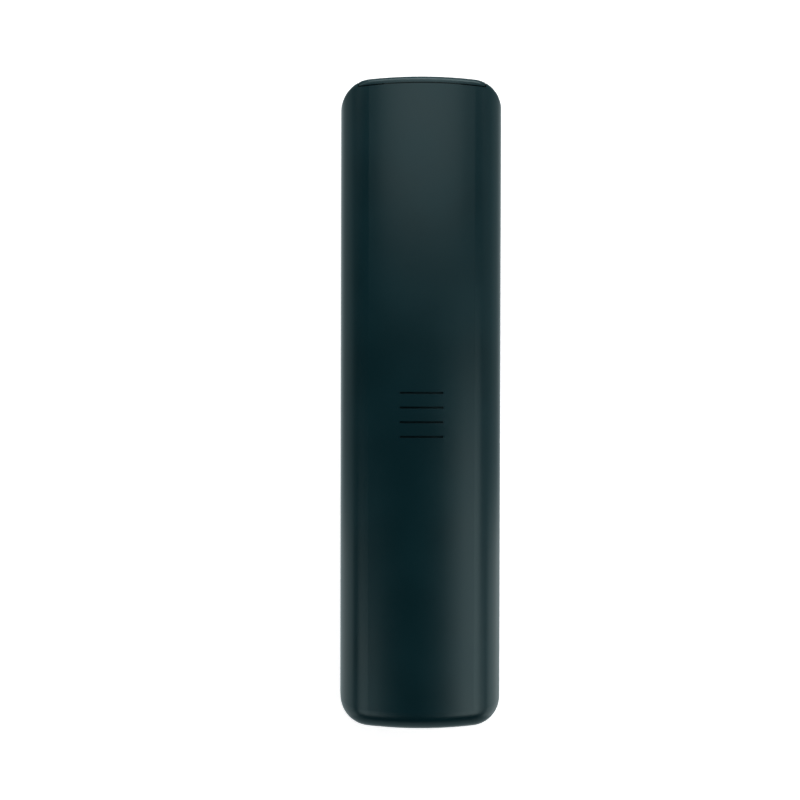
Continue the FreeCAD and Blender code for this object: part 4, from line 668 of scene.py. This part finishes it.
# %% Signs of the round keys, drawn with three widths of pen
pen, fine_pen, finer_pen = 0.42, 0.36, 0.34
capsule = np.concatenate([arc(0, 1.5, 0.75, 0, 180), arc(0, 0.1, 0.75, 180, 360)])
teeth = [stroke(line((1.2 * np.cos(a), 1.2 * np.sin(a)), (1.6 * np.cos(a), 1.6 * np.sin(a))), 0.5)
         for a in np.radians(np.arange(0, 360, 45))]
ROUND_SIGNS = {
    "power_key": [stroke(arc(0, -0.1, 1.7, 120, 420), pen), stroke(line((0, 0.4), (0, 2.0)), pen)],
    "voice_key": [stroke(capsule, fine_pen, closed=True), stroke(arc(0, 0.1, 1.5, 180, 360), fine_pen),
                  stroke(line((0, -1.4), (0, -2.3)), fine_pen),
                  stroke(line((-0.9, -2.3), (0.9, -2.3)), fine_pen)],
    "settings_key": [stroke(ring_line(0, 0, 1.15), pen)] + teeth + [stroke(ring_line(0, 0, 0.42), 0.3)],
    "input_key": [stroke(line((-0.5, 1.3), (1.7, 1.3), (1.7, -1.3), (-0.5, -1.3)), pen),
                  stroke(line((-2.0, 0), (0.5, 0)), pen),
                  stroke(line((-0.2, 0.7), (0.5, 0), (-0.2, -0.7)), pen)],
    "back_key": [stroke(line((-0.6, 1.5), (-1.5, 0.6), (-0.6, -0.3)), pen),
                 stroke(np.concatenate([line((-1.4, 0.6), (0.5, 0.6)), arc(0.5, -0.4, 1.0, 90, -90)[1:],
                                        line((0.5, -1.4), (-0.9, -1.4))[1:]]), pen)],
    "home_key": [stroke(line((-1.6, 0.1), (0, 1.6), (1.6, 0.1)), pen),
                 stroke(line((-1.1, 0.4), (-1.1, -1.4), (1.1, -1.4), (1.1, 0.4)), pen)],
    "menu_key": [stroke(line((-1.4, v), (1.4, v)), pen) for v in (1.0, 0.0, -1.0)],
    "mute_key": [plate([(-1.7, -0.5), (-1.0, -0.5), (-1.0, 0.5), (-1.7, 0.5)]),
                 plate([(-0.95, -0.5), (0.0, -1.3), (0.0, 1.3), (-0.95, 0.5)]),
                 stroke(line((0.7, 0.6), (1.9, -0.6)), fine_pen),
                 stroke(line((0.7, -0.6), (1.9, 0.6)), fine_pen)],
}
for node, parts in ROUND_SIGNS.items():
    signs.append(sign("sign_" + node, node, parts))

# %% Signs of the rockers and the ring
ROCKER_END = 6.8
chevron = line((-0.9, -0.4), (0, 0.45), (0.9, -0.4))
plus = [stroke(line((-1, ROCKER_END), (1, ROCKER_END)), pen),
        stroke(line((0, ROCKER_END - 1), (0, ROCKER_END + 1)), pen)]
minus = [stroke(line((-1, -ROCKER_END), (1, -ROCKER_END)), pen)]
signs.append(sign("sign_louder", "volume_rocker", plus))
signs.append(sign("sign_softer", "volume_rocker", minus))
signs.append(sign("sign_channel_up", "channel_rocker", [stroke(chevron + (0, ROCKER_END), pen)]))
signs.append(sign("sign_channel_down", "channel_rocker", [stroke(chevron * (1, -1) - (0, ROCKER_END), pen)]))
dots = [plate(ring_line(10.6 * np.cos(a), 10.6 * np.sin(a), 0.42, 24))
        for a in np.radians([0, 90, 180, 270])]
signs.append(sign("sign_ring", "direction_ring", dots, body="ring"))

# %% Signs of the oblong keys
bullets = [plate(ring_line(-1.5, v, 0.24, 16)) for v in (0.9, 0.0, -0.9)]
bars = [stroke(line((-0.8, v), (1.6, v)), finer_pen) for v in (0.9, 0.0, -0.9)]
signs.append(sign("sign_list", "list_key", bullets + bars))
swap = [stroke(line(start, end), finer_pen)
        for start, end in (((-1.5, 0.5), (1.4, 0.5)), ((0.9, 1.1), (1.5, 0.5)),
                           ((1.5, -0.5), (-1.4, -0.5)), ((-0.9, -1.1), (-1.5, -0.5)))]
signs.append(sign("sign_return", "return_key", swap))
triangle = [plate([(-0.9, -1.2), (1.3, 0), (-0.9, 1.2)])]
signs.append(sign("sign_play", "shortcut_key_left", triangle, dark_ink))
screen = [stroke(line((-1.7, 1.0), (1.7, 1.0), (1.7, -0.9), (-1.7, -0.9), (-1.7, 1.0)), finer_pen),
          stroke(line((-0.8, -1.45), (0.8, -1.45)), finer_pen)]
signs.append(sign("sign_screen", "shortcut_key_right", screen, dark_ink))
print("signs:", len(signs))

# %% [markdown]
# ## Moulded and printed polarity marks
# A plus and a minus stand on the lid of the housing beside the cells, moulded with the chassis, and
# the same marks are printed round the sleeves. The marks on a sleeve bend with it: a distance across
# the mark becomes an angle about the cell's axis.

# %% Marks on the housing
MARK_PAST_BAY, MARK_FROM_END = 5.5 * MM, 6


def polarity(kind, size=1.5, width=0.55, **depth):
    """A minus, or a plus made of two crossed strokes, size to each side of its middle."""
    parts = [stroke(line((-size, 0), (size, 0), steps=9), width, **depth)]
    if kind == "plus":
        parts.append(stroke(line((0, -size), (0, size), steps=9), width, **depth))
    return parts


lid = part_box("rear_chassis")[1].z
bay_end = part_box("positive_tab")[1].y
for kind, cell in (("plus", "battery_a"), ("minus", "battery_b")):
    low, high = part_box(cell)
    points, faces = joined(polarity(kind, lift=0.15, sink=0.1))
    points += np.array([(low.x + high.x) / 2, bay_end + MARK_PAST_BAY, lid])
    mesh = bpy.data.meshes.new("housing_" + kind)
    mesh.from_pydata(points.tolist(), [], faces)
    piece = finished("housing_" + kind, mesh, chassis_plastic)
    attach(piece, "handset")
print("marks on the housing at y, mm:", round((bay_end + MARK_PAST_BAY) / MM, 1))

# %% Marks round the sleeves
SLEEVE_INSET = 0.03


def wrapped(name, node, parts, place, turn):
    """(u, v, w) goes to (place + u) along the cell and to the angle turn + v / radius about its axis.

    The sleeve's surface lies SLEEVE_INSET mm inside that of the CAD cell, and w is counted from it.
    """
    low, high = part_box(node)
    radius = (high.z - low.z) / 2
    points, faces = joined(parts)
    angle = np.radians(turn) + points[:, 1] / radius
    reach = radius - SLEEVE_INSET * MM + points[:, 2]
    bent = np.stack([(low.x + high.x) / 2 - reach * np.sin(angle), place * MM + points[:, 0],
                     (low.z + high.z) / 2 + reach * np.cos(angle)], axis=1)
    mesh = bpy.data.meshes.new(name)
    mesh.from_pydata(bent.tolist(), [], faces)
    piece = finished(name, mesh, legend_ink)
    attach(piece, "handset")


for node, way in (("battery_a", 1), ("battery_b", -1)):
    low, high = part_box(node)
    plus_end, minus_end = (high.y, low.y) if way > 0 else (low.y, high.y)
    places = {"plus": plus_end / MM - way * MARK_FROM_END, "minus": minus_end / MM + way * MARK_FROM_END}
    for turn in (0, 180):
        for kind, place in places.items():
            wrapped(f"{node}_{kind}_{turn}", node, polarity(kind, 1.3, 0.5), place, turn)
    print(node, "marks at y, mm:", {kind: round(place, 1) for kind, place in places.items()})

# %% [markdown]
# ## Studio
# The handset lies on a white sheet. The sheet is seen by the camera only, where it is white and
# keeps the handset's shadow. For all other rays the lower half of the surroundings is a dim white,
# which brightens the rims as a light table does, and lets the keys be looked at from below.

# %% White sheet
def make_sheet(white=(0.90, 0.90, 0.90, 1), shine=0.70):
    """Camera rays from above see a white diffuse sheet with a glow; all other rays pass through."""
    material = bpy.data.materials.new("white_sheet")
    material.use_nodes = True
    tree = material.node_tree
    tree.nodes.clear()
    end = add(tree, "ShaderNodeOutputMaterial")
    paper = add(tree, "ShaderNodeBsdfDiffuse", Color=white)
    glow = add(tree, "ShaderNodeEmission", Color=(1, 1, 1, 1), Strength=shine)
    lit = add(tree, "ShaderNodeAddShader")
    clear = add(tree, "ShaderNodeBsdfTransparent")
    shown = add(tree, "ShaderNodeMixShader")
    path = add(tree, "ShaderNodeLightPath")
    face = add(tree, "ShaderNodeNewGeometry")
    front = add(tree, "ShaderNodeMath", operation="SUBTRACT")
    seen = add(tree, "ShaderNodeMath", operation="MULTIPLY")
    front.inputs[0].default_value = 1.0
    link = tree.links.new
    link(paper.outputs[0], lit.inputs[0])
    link(glow.outputs[0], lit.inputs[1])
    link(face.outputs["Backfacing"], front.inputs[1])
    link(front.outputs[0], seen.inputs[0])
    link(path.outputs["Is Camera Ray"], seen.inputs[1])
    link(seen.outputs[0], shown.inputs["Fac"])
    link(clear.outputs[0], shown.inputs[1])
    link(lit.outputs[0], shown.inputs[2])
    link(shown.outputs[0], end.inputs["Surface"])
    return material


sheet_mesh = bpy.data.meshes.new("sheet")
sheet_mesh.from_pydata([(-4, -4, 0), (4, -4, 0), (4, 4, 0), (-4, 4, 0)], [], [(0, 1, 2, 3)])
sheet_mesh.materials.append(make_sheet())
sheet = bpy.data.objects.new("sheet", sheet_mesh)
bpy.context.scene.collection.objects.link(sheet)
print("sheet, m:", [round(side, 1) for side in sheet.dimensions])

# %% [markdown]
# The rims of the real handset mirror the sheet beside it, and the edges of the shoulders mirror the
# walls, which send back less. A picture of a room could give that. Two soft steps over the height of
# the direction do as well here, and each of them can be set alone.

# %% Surroundings
def soft_step(tree, start, end, low, high):
    """A node that goes smoothly from low to high as its Value goes from start to end."""
    step = add(tree, "ShaderNodeMapRange", interpolation_type="SMOOTHSTEP")
    for socket, value in (("From Min", start), ("From Max", end), ("To Min", low), ("To Max", high)):
        step.inputs[socket].default_value = value
    return step


def make_surroundings(sides=0.50, under=0.32):
    """Strength = sides, gone 30 degrees above the horizon, plus under, which is there only well below.

    The height of a direction is the Z of its unit vector, -1 straight down. The camera sees white.
    """
    world = bpy.data.worlds.new("studio")
    bpy.context.scene.world = world
    world.use_nodes = True
    tree = world.node_tree
    light = tree.nodes["Background"]
    end = tree.nodes["World Output"]
    place = add(tree, "ShaderNodeTexCoord")
    parts = add(tree, "ShaderNodeSeparateXYZ")
    level = soft_step(tree, -0.12, 0.50, sides, 0.0)
    deep = soft_step(tree, -0.95, -0.55, under, 0.0)
    both = add(tree, "ShaderNodeMath", operation="ADD")
    white = add(tree, "ShaderNodeBackground", Color=(1, 1, 1, 1), Strength=1.0)
    path = add(tree, "ShaderNodeLightPath")
    shown = add(tree, "ShaderNodeMixShader")
    light.inputs["Color"].default_value = (0.80, 0.97, 1.0, 1)
    link = tree.links.new
    link(place.outputs["Generated"], parts.inputs[0])
    for k, step in enumerate((level, deep)):
        link(parts.outputs["Z"], step.inputs["Value"])
        link(step.outputs["Result"], both.inputs[k])
    link(both.outputs[0], light.inputs["Strength"])
    link(path.outputs["Is Camera Ray"], shown.inputs["Fac"])
    link(light.outputs[0], shown.inputs[1])
    link(white.outputs[0], shown.inputs[2])
    link(shown.outputs[0], end.inputs["Surface"])


make_surroundings()
print("surroundings:", bpy.context.scene.world.name)

# %% [markdown]
# Ten soft lamps draw the long reflections. One above the infrared end brightens the upper half of
# the crown. One to the right and one to the left of the lower half draw a band down each shoulder,
# the stronger one on the right, and three more fill the outer shoulders beside them. A wide one
# far beyond the infrared end lights that end wall, and a faint one far to the right lights the edge
# there. The two low ones brighten the rims of the lower half. One large lamp would be less work, but
# it would light the crown evenly, and the photograph shows a dark middle.

# %% Lamps
def softbox(name, centre, size, radiance, aim=None):
    """A rectangular lamp: power = radiance * pi * area. Without aim it faces down."""
    lamp = bpy.data.lights.new(name, "AREA")
    lamp.shape, lamp.size, lamp.size_y = "RECTANGLE", size[0], size[1]
    lamp.energy = radiance * np.pi * size[0] * size[1]
    box = bpy.data.objects.new(name, lamp)
    bpy.context.scene.collection.objects.link(box)
    box.location = centre
    if aim is not None:
        box.rotation_mode = "QUATERNION"
        box.rotation_quaternion = (Vector(centre) - Vector(aim)).to_track_quat("Z", "Y")
    box.visible_camera = False
    print(f"{name}: {lamp.energy:.2f} W")


softbox("lamp_upper", (0.0065, 0.150, 0.19), (0.141, 0.21), 1.25)
softbox("lamp_right", (0.170, -0.135, 0.25), (0.17, 0.24), 1.9)
softbox("lamp_left", (-0.2365, -0.185, 0.25), (0.287, 0.21), 1.3)
softbox("lamp_upper_left", (-0.320, 0.210, 0.20), (0.38, 0.20), 1.5)
softbox("lamp_upper_right", (0.215, 0.170, 0.19), (0.23, 0.18), 0.45)
softbox("lamp_lower_right", (0.400, -0.185, 0.25), (0.28, 0.19), 1.15)
softbox("lamp_far", (0.2, 1.1, 0.60), (1.6, 0.7), 4.0, aim=(0, 0, 0))
softbox("lamp_side", (1.1, 0.3, 0.55), (0.9, 0.6), 0.25, aim=(0, 0, 0))
softbox("lamp_low_right", (0.16, -0.12, -0.05), (0.16, 0.20), 0.8, aim=(0, -0.12, -0.05))
softbox("lamp_low_left", (-0.16, -0.12, -0.05), (0.16, 0.20), 0.45, aim=(0, -0.12, -0.05))

# %% [markdown]
# ## Camera
# The photograph looks down with the infrared end up. One pixel of it is 0.2404 mm at the height of
# the widest outline, and the handset's middle lies at pixel (420.6, 402.5) of 800. The view isn't
# quite upright: it leans by 1.2 and 2.5 degrees and is turned by 0.135 degrees, which the widths of
# the rims and the slope of the long edges give.

# %% Frame the handset
PIXEL = 0.2404 * MM
DISTANCE = 1.1
MIDDLE_PIXEL = (420.6, 402.5)
LEAN, PITCH, ROLL = np.radians([1.2, 2.5, 0.135])
PICTURE, SENSOR = 800, 36.0
outline_height = 9.4 * MM
back = np.array([-np.sin(LEAN), np.sin(PITCH), 0.0])
back[2] = np.sqrt(1 - back @ back)
right = np.cross([0.0, 1.0, 0.0], back)
right /= np.linalg.norm(right)
up = np.cross(back, right)
right, up = np.cos(ROLL) * right + np.sin(ROLL) * up, np.cos(ROLL) * up - np.sin(ROLL) * right
half = PICTURE / 2
target = (half - MIDDLE_PIXEL[0]) * PIXEL * right + (MIDDLE_PIXEL[1] - half) * PIXEL * up
target = target + np.array([0, 0, outline_height])
camera_data = bpy.data.cameras.new("camera")
camera_data.sensor_width = SENSOR
camera_data.lens = SENSOR * DISTANCE / (PICTURE * PIXEL)
camera_data.clip_start, camera_data.clip_end = 0.05, 20.0
camera = bpy.data.objects.new("camera", camera_data)
bpy.context.scene.collection.objects.link(camera)
pose = Matrix.Identity(4)
for column, axis in enumerate((right, up, back)):
    for row in range(3):
        pose[row][column] = axis[row]
pose.translation = Vector(target + back * DISTANCE)
camera.matrix_world = pose
bpy.context.scene.camera = camera
bpy.context.scene.view_settings.view_transform = "Standard"
print(f"lens {camera_data.lens:.1f} mm")
